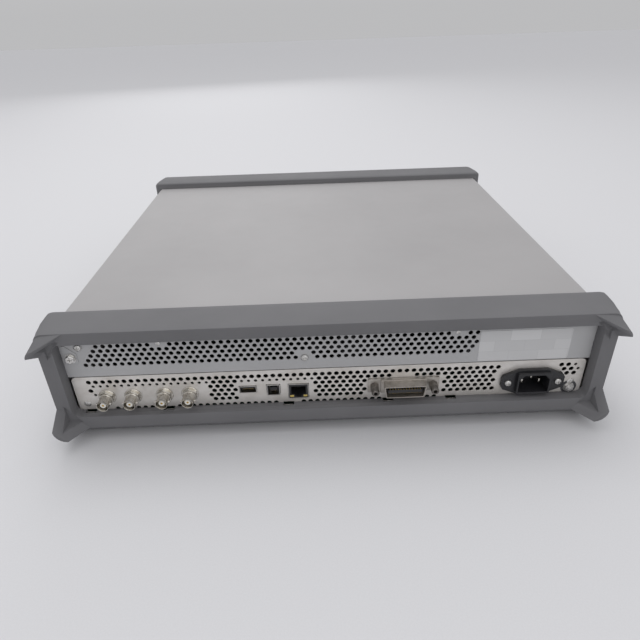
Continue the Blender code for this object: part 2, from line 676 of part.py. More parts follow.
def key(name, x, z, size, paint):
    """A key cap that slides in its cut-out, with a flange behind the plate that keeps it in."""
    half_w, half_h = size[0] / 2, size[1] / 2
    face = FRONT_Y - KEY_PROUD
    back = face + KEY_LENGTH
    flange_y = PLATE_BACK_Y + GAP
    shape = bmesh.new()
    add_prism(shape, rounded(half_w, z - half_h, z + half_h, 1.2 * MM, x, 2), face, back)
    cap = finish(name, shape, paint)
    flange = bmesh.new()
    wide, high = half_w + KEY_FLANGE, half_h + KEY_FLANGE
    hole(flange, x, z, wide, high, flange_y, flange_y + KEY_FLANGE_THICKNESS)
    combine(cap, flange, "UNION")
    return cap


def key_places():
    """Name, x, z, size and material of every key."""
    places = []
    for i in range(5):
        z = MID_Z + (2 - i) * (SOFTKEY_SIZE[1] + SOFTKEY_GAP)
        places.append((f"softkey_{i + 1}", SOFTKEY_X, z, SOFTKEY_SIZE, DARK_KEY))
    labels = ("7", "8", "9", "4", "5", "6", "1", "2", "3", "0", "point", "sign")
    for i, label in enumerate(labels):
        row, column = divmod(i, 3)
        x = PAD_X + (column - 1) * (PAD_SIZE[0] + PAD_GAP[0])
        z = MID_Z + (1.5 - row) * (PAD_SIZE[1] + PAD_GAP[1])
        places.append((f"key_{label}", x, z, PAD_SIZE, KEY_RUBBER))
    for i, x in enumerate(OUTPUT_KEY_X, 1):
        z = MID_Z + OUTPUT_KEY_RISE
        places.append((f"output_key_{i}", x, z, OUTPUT_KEY_SIZE, KEY_RUBBER))
    places.append(("power_button", POWER_X, MID_Z + POWER_RISE, POWER_SIZE, KEY_RUBBER))
    return places


def build_front_panel():
    """Moulded front: a plate with a rim behind it, and a cut-out for every control."""
    shape = bmesh.new()
    add_box(shape, (-HALF_W, FRONT_Y, BASE_Z), (HALF_W, RIM_BACK_Y, TOP_Z))
    panel = finish("front_panel", shape, BEZEL_PLASTIC)
    cavity = bmesh.new()
    low = (-HALF_W + FRONT_RIM, PLATE_BACK_Y, BASE_Z + FRONT_RIM)
    add_box(cavity, low, (HALF_W - FRONT_RIM, RIM_BACK_Y + 2 * MM, TOP_Z - FRONT_RIM))
    combine(panel, cavity, "DIFFERENCE")
    holes = bmesh.new()
    y0, y1 = FRONT_Y - 1 * MM, PLATE_BACK_Y + 1 * MM
    z = MID_Z + WINDOW_RISE
    hole(holes, WINDOW_X, z, WINDOW_SIZE[0] / 2, WINDOW_SIZE[1] / 2, y0, y1)
    for _, x, z, size, _ in key_places():
        hole(holes, x, z, size[0] / 2 + KEY_CLEARANCE, size[1] / 2 + KEY_CLEARANCE, y0, y1)
    for x in FRONT_BNC_X:
        add_turned(holes, tube_profile(BNC_THREAD + GAP, y0, y1), x, MID_Z - FRONT_BNC_DROP)
    shaft = tube_profile(SHAFT_RADIUS + 1.5 * MM + GAP, y0, y1)
    add_turned(holes, shaft, KNOB_X, MID_Z + KNOB_RISE)
    half_w, half_h = USB_A_BODY
    z = MID_Z - FRONT_USB_DROP
    hole(holes, FRONT_USB_X, z, half_w + GAP, half_h + GAP, y0, y1)
    combine(panel, holes, "DIFFERENCE")


def build_display():
    z = MID_Z + WINDOW_RISE
    wide, high = WINDOW_SIZE[0] / 2 - GAP, WINDOW_SIZE[1] / 2 - GAP
    y = FRONT_Y + 0.8 * MM
    low = (WINDOW_X - wide, y, z - high)
    high_corner = (WINDOW_X + wide, y + WINDOW_THICKNESS, z + high)
    box_node("display_window", low, high_corner, WINDOW_GLASS)
    y += WINDOW_THICKNESS + 2 * MM
    low = (WINDOW_X - wide - 3 * MM, y, z - high - 2 * MM)
    high_corner = (WINDOW_X + wide + 3 * MM, y + 7 * MM, z + high + 2 * MM)
    box_node("display_module", low, high_corner, BLACK_PLASTIC)


def build_knob():
    """Control knob on its encoder. The knob's origin is on the shaft's line."""
    z = MID_Z + KNOB_RISE
    back = FRONT_Y - 0.6 * MM
    face = back - KNOB_DEPTH
    bore = SHAFT_RADIUS + GAP
    profile = [
        (0, face),
        (KNOB_RADIUS - 1.6 * MM, face),
        (KNOB_RADIUS - 0.4 * MM, face + 1.2 * MM),
        (KNOB_RADIUS, back),
        (bore, back),
        (bore, face + 3.3 * MM),
        (0, face + 3.3 * MM),
    ]
    knob = turned_node("tuning_knob", profile, 0.0, 0.0, DARK_KEY, 32)
    knob.location = (KNOB_X, 0.0, z)
    dimple = bmesh.new()
    depth = tube_profile(3.6 * MM, face - 1 * MM, face + 1.0 * MM)
    add_turned(dimple, depth, KNOB_X, z + KNOB_RADIUS * 0.55, 16)
    combine(knob, dimple, "DIFFERENCE")
    body_y = PLATE_BACK_Y + GAP
    low = (KNOB_X - 7 * MM, body_y, z - 7 * MM)
    encoder = box_node("knob_encoder", low, (KNOB_X + 7 * MM, body_y + 7 * MM, z + 7 * MM), STEEL)
    shaft = bmesh.new()
    bush = SHAFT_RADIUS + 1.5 * MM
    add_turned(
        shaft,
        [
            (0, body_y + 1 * MM),
            (bush, body_y + 1 * MM),
            (bush, FRONT_Y),
            (SHAFT_RADIUS, FRONT_Y),
            (SHAFT_RADIUS, face + 3.3 * MM + GAP),
            (0, face + 3.3 * MM + GAP),
        ],
        KNOB_X,
        z,
    )
    combine(encoder, shaft, "UNION")


def build_front_usb():
    z = MID_Z - FRONT_USB_DROP
    half_w, half_h = USB_A_BODY
    face = FRONT_Y - 0.4 * MM
    low = (FRONT_USB_X - half_w, face, z - half_h)
    port = box_node("usb_a_front", low, (FRONT_USB_X + half_w, FRONT_Y + 14 * MM, z + half_h), STEEL)
    hollow, tongue = bmesh.new(), bmesh.new()
    hole(hollow, FRONT_USB_X, z, *USB_A_MOUTH, face - 1 * MM, FRONT_Y + 11 * MM)
    combine(port, hollow, "DIFFERENCE")
    up = z + USB_A_TONGUE_RISE
    hole(tongue, FRONT_USB_X, up, *USB_A_TONGUE, face + TONGUE_INSET, FRONT_Y + 12 * MM)
    combine(port, tongue, "UNION")


# Inside

def build_boards():
    half = INNER_HALF_W - TRAY_SHEET - 2 * MM
    supply_edge = SUPPLY_X1 + 3 * MM
    low = (supply_edge, BOARD_FRONT_Y, BOARD_Z)
    box_node("main_board", low, (half, BOARD_BACK_Y, BOARD_Z + BOARD), BOARD_GREEN)
    y = FRONT_Y + FRONT_BOARD_BEHIND
    half = HALF_W - FRONT_RIM - 4 * MM
    low = (-half, y, BASE_Z + 4 * MM)
    box_node("front_board", low, (half, y + BOARD, TOP_Z - 4 * MM), BOARD_GREEN)


def build_inside():
    top = BASE_Z + TRAY_SHEET
    back = REAR_Y - SUPPLY_FROM_REAR
    low = (SUPPLY_X0, back - SUPPLY_LENGTH, top + GAP)
    open_box("power_supply", low, (SUPPLY_X1, back, top + SUPPLY_HEIGHT), TRAY_SHEET, ZINC)
    seat = BOARD_Z + BOARD + GAP
    low = (*SHIELD_LOW, seat)
    open_box("shield_can", low, Vector(low) + Vector(SHIELD_SIZE), SHEET, STEEL)
    high = (SINK_HALF, SINK_HALF, seat + SINK_HEIGHT)
    sink = box_node("heat_sink", (-SINK_HALF, -SINK_HALF, seat), high, STEEL)
    gaps = bmesh.new()
    pitch = (2 * SINK_HALF - SINK_FIN) / (SINK_FINS - 1)
    for i in range(SINK_FINS - 1):
        x0 = -SINK_HALF + SINK_FIN + i * pitch
        low = (x0, -SINK_HALF - 1 * MM, seat + SINK_BASE)
        add_box(gaps, low, (x0 + pitch - SINK_FIN, SINK_HALF + 1 * MM, seat + SINK_HEIGHT + 1 * MM))
    combine(sink, gaps, "DIFFERENCE")
    build_fan()


def build_fan():
    """Axial fan across the body, blowing out through the perforated rear panels."""
    half = FAN_SIZE / 2
    z = BOARD_Z + BOARD + FAN_CLEARANCE + half
    y1 = REAR_Y - FAN_FROM_REAR
    y0 = y1 - FAN_DEPTH
    bore = half - FAN_WALL
    high = (FAN_X + half, y1, z + half)
    frame = box_node("fan_frame", (FAN_X - half, y0, z - half), high, BLACK_PLASTIC)
    throat, carrier = bmesh.new(), bmesh.new()
    add_turned(throat, tube_profile(bore, y0 - 1 * MM, y1 + 1 * MM), FAN_X, z, 32)
    combine(frame, throat, "DIFFERENCE")
    low = (FAN_X - half + 1 * MM, y1 - 3 * MM, z - 3 * MM)
    add_box(carrier, low, (FAN_X + half - 1 * MM, y1 - 0.5 * MM, z + 3 * MM))
    combine(frame, carrier, "UNION")
    hub = bmesh.new()
    profile = tube_profile(FAN_HUB, y0 + 1 * MM, y1 - 4 * MM)
    add_turned(hub, profile, 0.0, 0.0, 24)
    rotor = finish("fan_rotor", hub, BLACK_PLASTIC, smooth=True)
    rotor.location = (FAN_X, 0.0, z)
    blades = bmesh.new()
    centre = Vector((FAN_X, 0.0, z))
    for i in range(FAN_BLADES):
        angle = 2 * math.pi * i / FAN_BLADES
        along = Vector((math.cos(angle), 0.0, math.sin(angle)))
        across = Vector((-math.sin(angle), 0.0, math.cos(angle)))
        corners = []
        for radius in (FAN_HUB - 2 * MM, bore - BLADE_TIP_GAP):
            for y, lean in ((y0 + 2 * MM, -BLADE_LEAN), (y1 - 5 * MM, BLADE_LEAN)):
                for thick in (-BLADE_HALF, BLADE_HALF):
                    point = centre + along * radius + across * (lean + thick)
                    corners.append((point.x, y, point.z))
        add_hull(blades, corners)
    combine(rotor, blades, "UNION")


build_cover()
build_tray()
build_rear_panels()
build_bumper("rear_bumper", 1, REAR_BOTTOM_COVER, notches=True)
build_bumper("front_bumper", -1, FRONT_BOTTOM_COVER, notches=False)
build_rear_connectors()
build_front_panel()
build_display()
for key_name, key_x, key_z, key_size, key_paint in key_places():
    key(key_name, key_x, key_z, key_size, key_paint)
build_knob()
for index, bnc_x in enumerate(FRONT_BNC_X, 1):
    bnc(f"bnc_front_{index}", bnc_x, MID_Z - FRONT_BNC_DROP, FRONT_Y, -1)
build_front_usb()
build_boards()
build_inside()
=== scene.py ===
"""The looks of a bench function generator: a full-width instrument in two moulded corner bumpers.

Metres. The front faces -Y and the rear faces +Y, and the camera looks at the rear. Left and right in the
names of pieces are as seen from behind, so left is +X.
"""

import math

import bmesh
import bpy
from mathutils import Matrix, Vector


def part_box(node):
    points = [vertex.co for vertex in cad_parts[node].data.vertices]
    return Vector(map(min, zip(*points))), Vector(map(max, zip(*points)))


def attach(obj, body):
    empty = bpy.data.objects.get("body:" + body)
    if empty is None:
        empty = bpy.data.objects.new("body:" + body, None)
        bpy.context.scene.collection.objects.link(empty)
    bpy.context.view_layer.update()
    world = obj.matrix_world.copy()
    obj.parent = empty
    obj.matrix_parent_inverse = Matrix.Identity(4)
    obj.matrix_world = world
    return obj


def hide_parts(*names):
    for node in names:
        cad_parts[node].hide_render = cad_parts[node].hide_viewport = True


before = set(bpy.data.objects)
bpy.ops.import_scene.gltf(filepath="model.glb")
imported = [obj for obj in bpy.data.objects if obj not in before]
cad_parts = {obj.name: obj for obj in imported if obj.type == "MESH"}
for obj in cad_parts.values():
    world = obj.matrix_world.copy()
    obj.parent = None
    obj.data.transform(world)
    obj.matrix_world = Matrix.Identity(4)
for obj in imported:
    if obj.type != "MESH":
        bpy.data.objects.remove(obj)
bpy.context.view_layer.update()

MM = 0.001

# Camera: at the rear, above the middle of the instrument, looking down on it.
# It is turned a little off the middle line and rolled slightly.

CAMERA_PLACE = (0.0094, 0.5444, 0.30175)
CAMERA_HEADING = math.radians(0.5)
CAMERA_TILT_DOWN = math.radians(30.3)
CAMERA_ROLL = math.radians(-1.9)
CAMERA_LENS = 30.03
CAMERA_SENSOR = 36.0

turned_about = Matrix.Rotation(math.pi - CAMERA_HEADING, 4, "Z")
tilted = Matrix.Rotation(math.pi / 2 - CAMERA_TILT_DOWN, 4, "X")
rolled = Matrix.Rotation(CAMERA_ROLL, 4, "Z")
bpy.ops.object.camera_add(location=(0.0, 0.0, 0.0))
camera = bpy.context.object
camera.name = "camera"
camera.data.lens = CAMERA_LENS
camera.data.sensor_width = CAMERA_SENSOR
camera.data.clip_start = 0.01
camera.matrix_world = Matrix.Translation(CAMERA_PLACE) @ turned_about @ tilted @ rolled
bpy.context.scene.camera = camera


# Floor: a wide sheet of pale matt paper that the instrument stands on.
# It runs out to a horizon as bright as itself, so that it has no visible end.

FLOOR_HALF = 6.0
FLOOR_COLOUR = (0.64, 0.64, 0.655)


def deselect():
    if bpy.context.mode != "OBJECT":
        bpy.ops.object.mode_set(mode="OBJECT")
    bpy.ops.object.select_all(action="DESELECT")


def new_finish(name, colour, roughness, metallic=0.0, specular=0.5):
    """A material with its even values on the shader, and the nodes that later lines vary it with."""
    made = bpy.data.materials.new(name)
    made.use_nodes = True
    shader = made.node_tree.nodes["Principled BSDF"]
    shader.inputs["Base Color"].default_value = (*colour, 1.0)
    shader.inputs["Roughness"].default_value = roughness
    shader.inputs["Metallic"].default_value = metallic
    shader.inputs["Specular IOR Level"].default_value = specular
    made.diffuse_color = (*colour, 1.0)
    return made


def grain(made, scale, detail=2.0, stretch=(1.0, 1.0, 1.0)):
    """Noise in object space, so that a pattern stays with its piece. Scale is in cycles per metre."""
    nodes, links = made.node_tree.nodes, made.node_tree.links
    place = nodes.new("ShaderNodeTexCoord")
    spread = nodes.new("ShaderNodeMapping")
    spread.inputs["Scale"].default_value = stretch
    noise = nodes.new("ShaderNodeTexNoise")
    noise.inputs["Scale"].default_value = scale
    noise.inputs["Detail"].default_value = detail
    links.new(place.outputs["Object"], spread.inputs["Vector"])
    links.new(spread.outputs["Vector"], noise.inputs["Vector"])
    return noise.outputs["Fac"]


def vary_colour(made, texture, dark, light, low=0.3, high=0.7):
    """Colour that runs between two shades as a grain goes from low to high. Texture is what the grain takes."""
    nodes, links = made.node_tree.nodes, made.node_tree.links
    ramp = nodes.new("ShaderNodeValToRGB")
    for element, place, tint in zip(ramp.color_ramp.elements, (low, high), (dark, light)):
        element.position = place
        element.color = (*tint, 1.0)
    links.new(grain(made, *texture), ramp.inputs["Fac"])
    links.new(ramp.outputs["Color"], nodes["Principled BSDF"].inputs["Base Color"])
    return ramp.outputs["Color"]


paper = new_finish("studio_paper", FLOOR_COLOUR, 0.85, specular=0.2)
vary_colour(paper, (900.0,), (0.63, 0.63, 0.645), (0.65, 0.65, 0.665))

deselect()
bpy.ops.mesh.primitive_plane_add(size=2 * FLOOR_HALF, location=(0.0, 0.0, 0.0))
floor = bpy.context.object
floor.name = "floor"
floor.data.materials.append(paper)


# Light: a room that is brightest overhead, with weak soft boxes above, behind the camera and at the front.

HORIZON_LIGHT = (0.5, 0.5, 0.508)
ZENITH_LIGHT = (0.92, 0.92, 0.935)
room = bpy.data.worlds.new("room")
room.use_nodes = True
room_nodes, room_links = room.node_tree.nodes, room.node_tree.links
room_way = room_nodes.new("ShaderNodeTexCoord")
room_axes = room_nodes.new("ShaderNodeSeparateXYZ")
room_ramp = room_nodes.new("ShaderNodeValToRGB")
room_ramp.color_ramp.elements[0].color = (*HORIZON_LIGHT, 1.0)
room_ramp.color_ramp.elements[1].color = (*ZENITH_LIGHT, 1.0)
room_links.new(room_way.outputs["Generated"], room_axes.inputs["Vector"])
room_links.new(room_axes.outputs["Z"], room_ramp.inputs["Fac"])
room_links.new(room_ramp.outputs["Color"], room_nodes["Background"].inputs["Color"])
bpy.context.scene.world = room
bpy.context.scene.view_settings.view_transform = "Standard"

for lamp_name, lamp_place, lamp_aim, lamp_size, lamp_power in (
    ("soft_box_above", (0.3, -0.35, 1.7), (0.0, 0.0, 0.05), 1.3, 9.0),
    ("soft_box_behind_camera", (-0.5, 1.9, 1.0), (0.0, 0.1, 0.05), 1.2, 4.0),
    ("soft_box_at_the_front", (0.4, -1.9, 0.9), (0.0, -0.1, 0.05), 1.2, 4.0),
):
    bpy.ops.object.light_add(type="AREA", location=lamp_place)
    lamp = bpy.context.object
    lamp.name = lamp_name
    lamp.data.size = lamp_size
    lamp.data.energy = lamp_power
    lamp.rotation_euler = (Vector(lamp_aim) - Vector(lamp_place)).to_track_quat("-Z", "Y").to_euler()


# Cover: an inverted U of painted sheet steel, its top and two sides one folded piece.
# The paint is a warm light grey with a fine leathery texture.

COVER_SHEET = 1.2 * MM
COVER_BEND = 2.2 * MM


def vary_roughness(made, texture, low, high):
    nodes, links = made.node_tree.nodes, made.node_tree.links
    span = nodes.new("ShaderNodeMapRange")
    span.inputs["To Min"].default_value = low
    span.inputs["To Max"].default_value = high
    links.new(grain(made, *texture), span.inputs["Value"])
    links.new(span.outputs["Result"], nodes["Principled BSDF"].inputs["Roughness"])


def emboss(made, texture, height, strength):
    """Bump, with its height in metres."""
    nodes, links = made.node_tree.nodes, made.node_tree.links
    bump = nodes.new("ShaderNodeBump")
    bump.inputs["Distance"].default_value = height
    bump.inputs["Strength"].default_value = strength
    links.new(grain(made, *texture), bump.inputs["Height"])
    links.new(bump.outputs["Normal"], nodes["Principled BSDF"].inputs["Normal"])


cover_paint = new_finish("cover_paint", (0.355, 0.346, 0.348), 0.55, specular=0.35)
vary_colour(cover_paint, (9.0, 3.0), (0.343, 0.334, 0.336), (0.367, 0.358, 0.36))
vary_roughness(cover_paint, (60.0, 4.0), 0.48, 0.62)
emboss(cover_paint, (1500.0, 3.0), 0.00008, 0.5)


def apply_place():
    """Puts the place of the piece in hand into its mesh."""
    bpy.ops.object.transform_apply(location=True, rotation=True, scale=True)


def shade(angle):
    """Smooth shading over every edge of the piece in hand that is less sharp than this, in degrees."""
    bpy.ops.object.mode_set(mode="OBJECT")
    bpy.ops.object.shade_smooth_by_angle(angle=math.radians(angle))


def settle(name, paint=None, node=None, body="chassis", smooth=None):
    """Gives the piece in hand its name, finish and body, with its place in its mesh, and hides the CAD node it
    stands for.
    """
    piece = bpy.context.object
    apply_place()
    piece.name = name
    piece.data.name = name
    if paint:
        piece.data.materials.clear()
        piece.data.materials.append(paint)
    if smooth:
        shade(smooth)
    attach(piece, body)
    if node:
        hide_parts(node)


def start_box(low, high):
    """A box from its lowest to its highest corner, selected and active, with its place in its mesh."""
    deselect()
    low, high = Vector(low), Vector(high)
    bpy.ops.mesh.primitive_cube_add(size=1.0, location=(low + high) / 2)
    box = bpy.context.object
    box.scale = high - low
    apply_place()
    return box


def choose(faces=None, edges=None):
    """In edit mode, selects the faces or edges of the piece in hand that pass a test."""
    piece = bpy.context.object
    bpy.ops.object.mode_set(mode="EDIT")
    bpy.ops.mesh.select_mode(type="FACE" if faces else "EDGE")
    bpy.ops.mesh.select_all(action="DESELECT")
    shape = bmesh.from_edit_mesh(piece.data)
    for part in shape.faces if faces else shape.edges:
        if (faces or edges)(part):
            part.select_set(True)
    bmesh.update_edit_mesh(piece.data)


def edge_middle(edge):
    return (edge.verts[0].co + edge.verts[1].co) / 2


def edge_way(edge):
    return (edge.verts[1].co - edge.verts[0].co).normalized()


def apply_all():
    for modifier in list(bpy.context.object.modifiers):
        bpy.ops.object.modifier_apply(modifier=modifier.name)


def add_modifier(kind, **values):
    modifier = bpy.context.object.modifiers.new(kind.title(), kind)
    for key, value in values.items():
        setattr(modifier, key, value)


low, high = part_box("top_cover")
start_box(low, high)
choose(faces=lambda face: abs(face.normal.y) > 0.9 or face.normal.z < -0.9)
bpy.ops.mesh.delete(type="FACE")
choose(edges=lambda edge: abs(edge_way(edge).y) > 0.9 and edge_middle(edge).z > high.z - MM)
bpy.ops.mesh.bevel(offset=COVER_BEND, segments=4)
bpy.ops.object.mode_set(mode="OBJECT")
add_modifier("SOLIDIFY", thickness=COVER_SHEET, offset=-1.0)
apply_all()
settle("cover", cover_paint, "top_cover", smooth=35)


# Rear panels: the painted upper panel and the bare plated lower one, both punched with rows of holes.
# Each is cut from flat sheet, so its outline and all of its holes are drawn first and given a thickness.

PANEL_SHEET = 1.2 * MM
HOLE_PITCH = 5.6 * MM
ROW_PITCH = 4.16 * MM
UPPER_HOLE = 1.85 * MM  # radius
LOWER_HOLE = 2.0 * MM
SMALL_HOLE = 1.35 * MM
SCREW_HOLE = 1.8 * MM
JACK_HOLE = 4.9 * MM
HOLE_SIDES = 14
SEAM_GAP = 0.5 * MM  # between the two panels
TOP_ROW = (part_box("rear_panel_upper")[0].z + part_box("rear_panel_lower")[1].z) / 2 - 5.8 * MM

UPPER_RISE = 16.6 * MM  # of the upper panel's lowest row of holes above the lower panel's highest
UPPER_START = 188.6 * MM
UPPER_END = -114 * MM  # the rating label begins there
CENTRE_ROOM = 6.2 * MM  # without holes to each side of the centre screw
SMALL_SCREW_ROOM = 4.2 * MM
# Place across, rise above the lower panel's top row, and head radius in millimetres: two on each panel.
SMALL_SCREWS = ((130.0, 34.2, 1.7), (-98.6, 34.2, 1.7), (196.0, -20.5, 2.7), (-194.4, -16.5, 2.7))
CORNER_RISE = 0.6 * MM  # of the pressed patch round the captive screw
CORNER_PATCH = ((5.4, -5.6), (5.4, 11.0), (2.6, 11.0), (-5.2, 3.4), (-5.2, -3.6), (-3.2, -5.6))  # millimetres

LOWER_START = 190.8  # places and lengths along the lower panel are in millimetres
FIELDS = ((75.9, 96.0), (-30.0, 12.0), (-134.1, -88.0))  # punched in all six rows
SOCKETS = (14.0, 75.9)  # the data sockets stand there
BUS = (-134.1, -30.0)
INLET_STRIP = (-199.0, -183.0)
INLET_SMALL = -194.0  # the top two rows' holes past here are small
LEGEND_ROOM = 7.0  # left plain to each side of the bus connector's middle
FOOT_START = 173.0  # the single row at the panel's foot
FOOT_DROP = 26.8
NOTCHES = (194.0, 131.0, 34.0, -47.0, -98.0)
NOTCH_DROP = 28.0
NOTCH_ROOM = 6.8

panel_paint = new_finish("panel_paint", (0.4, 0.4, 0.405), 0.45, 0.1)
vary_colour(panel_paint, (14.0, 3.0), (0.38, 0.38, 0.386), (0.42, 0.42, 0.426))
vary_roughness(panel_paint, (90.0, 4.0), 0.4, 0.52)
emboss(panel_paint, (2200.0, 2.0), 0.00004, 0.4)

zinc = new_finish("zinc_plate", (0.66, 0.63, 0.6), 0.38, 0.55)
vary_colour(zinc, (55.0, 6.0, (1.0, 1.0, 1.6)), (0.6, 0.57, 0.535), (0.72, 0.695, 0.67), 0.36, 0.66)
vary_roughness(zinc, (160.0, 5.0), 0.3, 0.5)
emboss(zinc, (900.0, 3.0, (0.06, 1.0, 1.0)), 0.00003, 0.35)


def round_cut(x, z, radius, sides=HOLE_SIDES):
    turn = [2 * math.pi * (i + 0.5) / sides for i in range(sides)]
    return [(x + radius * math.cos(a), z + radius * math.sin(a)) for a in turn]


def square_cut(x, z, half_w, half_h, foot=0.0):
    """A cut-out, with its lower two corners cut off by foot."""
    points = []
    for sx, sz in ((1, 1), (-1, 1), (-1, -1), (1, -1)):
        cut = foot if sz < 0 else 0.0
        pair = [(x + sx * (half_w - cut), z + sz * half_h), (x + sx * half_w, z + sz * (half_h - cut))]
        points += (pair if sx > 0 else pair[::-1]) if cut else pair[:1]
    return points


def rounded_cut(low_x, low_z, high_x, high_z, radius, steps=5):
    """A rectangle with round corners, anticlockwise."""
    points = []
    for x, z, start in (
        (high_x - radius, high_z - radius, 0),
        (low_x + radius, high_z - radius, 90),
        (low_x + radius, low_z + radius, 180),
        (high_x - radius, low_z + radius, 270),
    ):
        for i in range(steps + 1):
            angle = math.radians(start + 90 * i / steps)
            points.append((x + radius * math.cos(angle), z + radius * math.sin(angle)))
    return points


def sheet_cut(outlines, front, thickness):
    """Flat sheet in the XZ plane from closed outlines, the first its edge and the rest its holes."""
    deselect()
    drawing = bpy.data.curves.new("drawing", "CURVE")
    drawing.dimensions = "2D"
    drawing.fill_mode = "BOTH"
    drawing.extrude = thickness / 2
    for outline in outlines:
        spline = drawing.splines.new("POLY")
        spline.points.add(len(outline) - 1)
        for point, (x, z) in zip(spline.points, outline):
            point.co = (x, z, 0.0, 1.0)
        spline.use_cyclic_u = True
    sheet = bpy.data.objects.new("sheet", drawing)
    bpy.context.scene.collection.objects.link(sheet)
    bpy.context.view_layer.objects.active = sheet
    sheet.select_set(True)
    sheet.rotation_euler = (math.pi / 2, 0.0, 0.0)
    sheet.location = (0.0, front - thickness / 2, 0.0)
    bpy.ops.object.convert(target="MESH")
    bpy.ops.object.mode_set(mode="EDIT")
    bpy.ops.mesh.select_all(action="SELECT")
    bpy.ops.mesh.remove_doubles(threshold=0.00002)
    bpy.ops.mesh.normals_make_consistent(inside=False)
    bpy.ops.object.mode_set(mode="OBJECT")
    return bpy.context.object


def middle_of(node):
    low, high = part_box(node)
    return (low + high) / 2


def around(node, margin_x, margin_z):
    """The patch of panel round a node, with margins in millimetres, as (low x, low z, high x, high z)."""
    low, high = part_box(node)
    grow_x, grow_z = margin_x * MM, margin_z * MM
    return (low.x - grow_x, low.z - grow_z, high.x + grow_x, high.z + grow_z)


def round_edges(width, segments, angle):
    """Rounds the edges of the piece in hand that are sharper than an angle in degrees."""
    add_modifier("BEVEL", width=width, segments=segments, limit_method="ANGLE", angle_limit=math.radians(angle))
    apply_all()


low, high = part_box("rear_panel_upper")
REAR_FACE = high.y
centre_x = middle_of("panel_screw_centre").x
cuts = [[(low.x, low.z), (high.x, low.z), (high.x, high.z), (low.x, high.z)]]
for screw in ("panel_screw_centre", "panel_screw_corner", "captive_screw"):
    cuts.append(round_cut(*middle_of(screw).xz, SCREW_HOLE))
for row in range(5):
    for i in range(54):
        x = UPPER_START - row * HOLE_PITCH / 2 - i * HOLE_PITCH
        near_centre = row < 2 and abs(x - centre_x) < CENTRE_ROOM
        near_small = row == 4 and min(abs(x - at * MM) for at, _, _ in SMALL_SCREWS[:2]) < SMALL_SCREW_ROOM
        if x > UPPER_END and not near_centre and not near_small:
            cuts.append(round_cut(x, TOP_ROW + UPPER_RISE + row * ROW_PITCH, UPPER_HOLE))
upper_panel = sheet_cut(cuts, REAR_FACE, PANEL_SHEET)

corner_x, corner_z = middle_of("captive_screw").xz
patch = [(corner_x + x * MM, corner_z + z * MM) for x, z in CORNER_PATCH]
sheet_cut([patch], REAR_FACE + CORNER_RISE, CORNER_RISE)
apply_place()
round_edges(0.3 * MM, 2, 60)
upper_panel.select_set(True)
bpy.context.view_layer.objects.active = upper_panel
bpy.ops.object.join()
settle("upper_rear_panel", panel_paint, "rear_panel_upper")

low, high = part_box("rear_panel_lower")
bus_x = middle_of("gpib_connector").x
cuts = [rounded_cut(low.x, low.z, high.x, high.z - SEAM_GAP, 3.5 * MM)]
cuts += [round_cut(*middle_of(f"bnc_rear_{n}").xz, JACK_HOLE, 24) for n in range(1, 5)]
for post in ("gpib_post_left", "gpib_post_right", "inlet_screw_left", "inlet_screw_right", "ground_stud"):
    cuts.append(round_cut(*middle_of(post).xz, SCREW_HOLE))
for node, half_w, half_h, foot in (
    ("usb_a_rear", 7.2, 3.6, 0.0),
    ("usb_b_rear", 5.7, 5.6, 1.6),
    ("lan_jack", 8.4, 7.3, 0.0),
    ("ac_inlet", 13.7, 10.2, 0.0),
    ("gpib_connector", 17.8, 5.9, 0.0),
):
    cuts.append(square_cut(*middle_of(node).xz, half_w * MM, half_h * MM, foot * MM))
keep_outs = [
    around("usb_a_rear", 2.6, 3.0), around("usb_b_rear", 3.2, 2.6), around("lan_jack", 3.4, 2.6),
    around("gpib_connector", 2.6, 3.0), around("ac_inlet", 3.6, 1.0),
]
for row in range(6):
    z = TOP_ROW - row * ROW_PITCH
    for i in range(71):
        across = LOWER_START - HOLE_PITCH / MM * (i + row % 2 / 2)
        x = across * MM
        in_fields = any(start < across < end for start, end in FIELDS)
        over_bus = row < 2 and BUS[0] < across < BUS[1]
        by_inlet = row < 3 and INLET_STRIP[0] < across < INLET_STRIP[1]
        first = row in (2, 3) and i == 0
        wanted = in_fields or over_bus or by_inlet or first or row < 2 and across > BUS[1]
        kept_out = any(x0 < x < x1 and z0 < z < z1 for x0, z0, x1, z1 in keep_outs)
        free = row == 0 or by_inlet or over_bus or not kept_out
        behind_legend = row == 1 and abs(x - bus_x) < LEGEND_ROOM * MM
        small = row == 1 and (across > FIELDS[0][1] or SOCKETS[0] < across < SOCKETS[1])
        small = small or row == 3 and i == 0 or row < 2 and across < INLET_SMALL
        if wanted and free and not behind_legend:
            cuts.append(round_cut(x, z, SMALL_HOLE if small else LOWER_HOLE))
for i in range(47):
    across = FOOT_START - HOLE_PITCH / MM * i
    if all(abs(across - notch) >= NOTCH_ROOM for notch in NOTCHES[1:4]):
        cuts.append(round_cut(across * MM, TOP_ROW - FOOT_DROP * MM, LOWER_HOLE))
for notch in NOTCHES:
    cuts.append(square_cut(notch * MM, TOP_ROW - NOTCH_DROP * MM, 4.5 * MM, 1.7 * MM))
sheet_cut(cuts, REAR_FACE, PANEL_SHEET)
settle("lower_rear_panel", zinc, "rear_panel_lower")


# Bumpers: one soft grey moulding pushed over each end, with an ear at every corner to stand or fall on.
# Each is a single tough elastomer part, matt, with rounded edges and a fine moulded texture.

BUMPER_EDGE = 0.8 * MM
SLOT_PLACES = (-176, -160, -144, -128, 128, 144, 160, 176)  # millimetres across, of the slots underneath
SLOT_WIDE = 6.5 * MM
SLOT_NEAR = 201.5 * MM  # from the middle of the instrument
SLOT_FAR = 206.0 * MM
SLOT_FOOT = 4 * MM
SLOT_TOP = 15.5 * MM


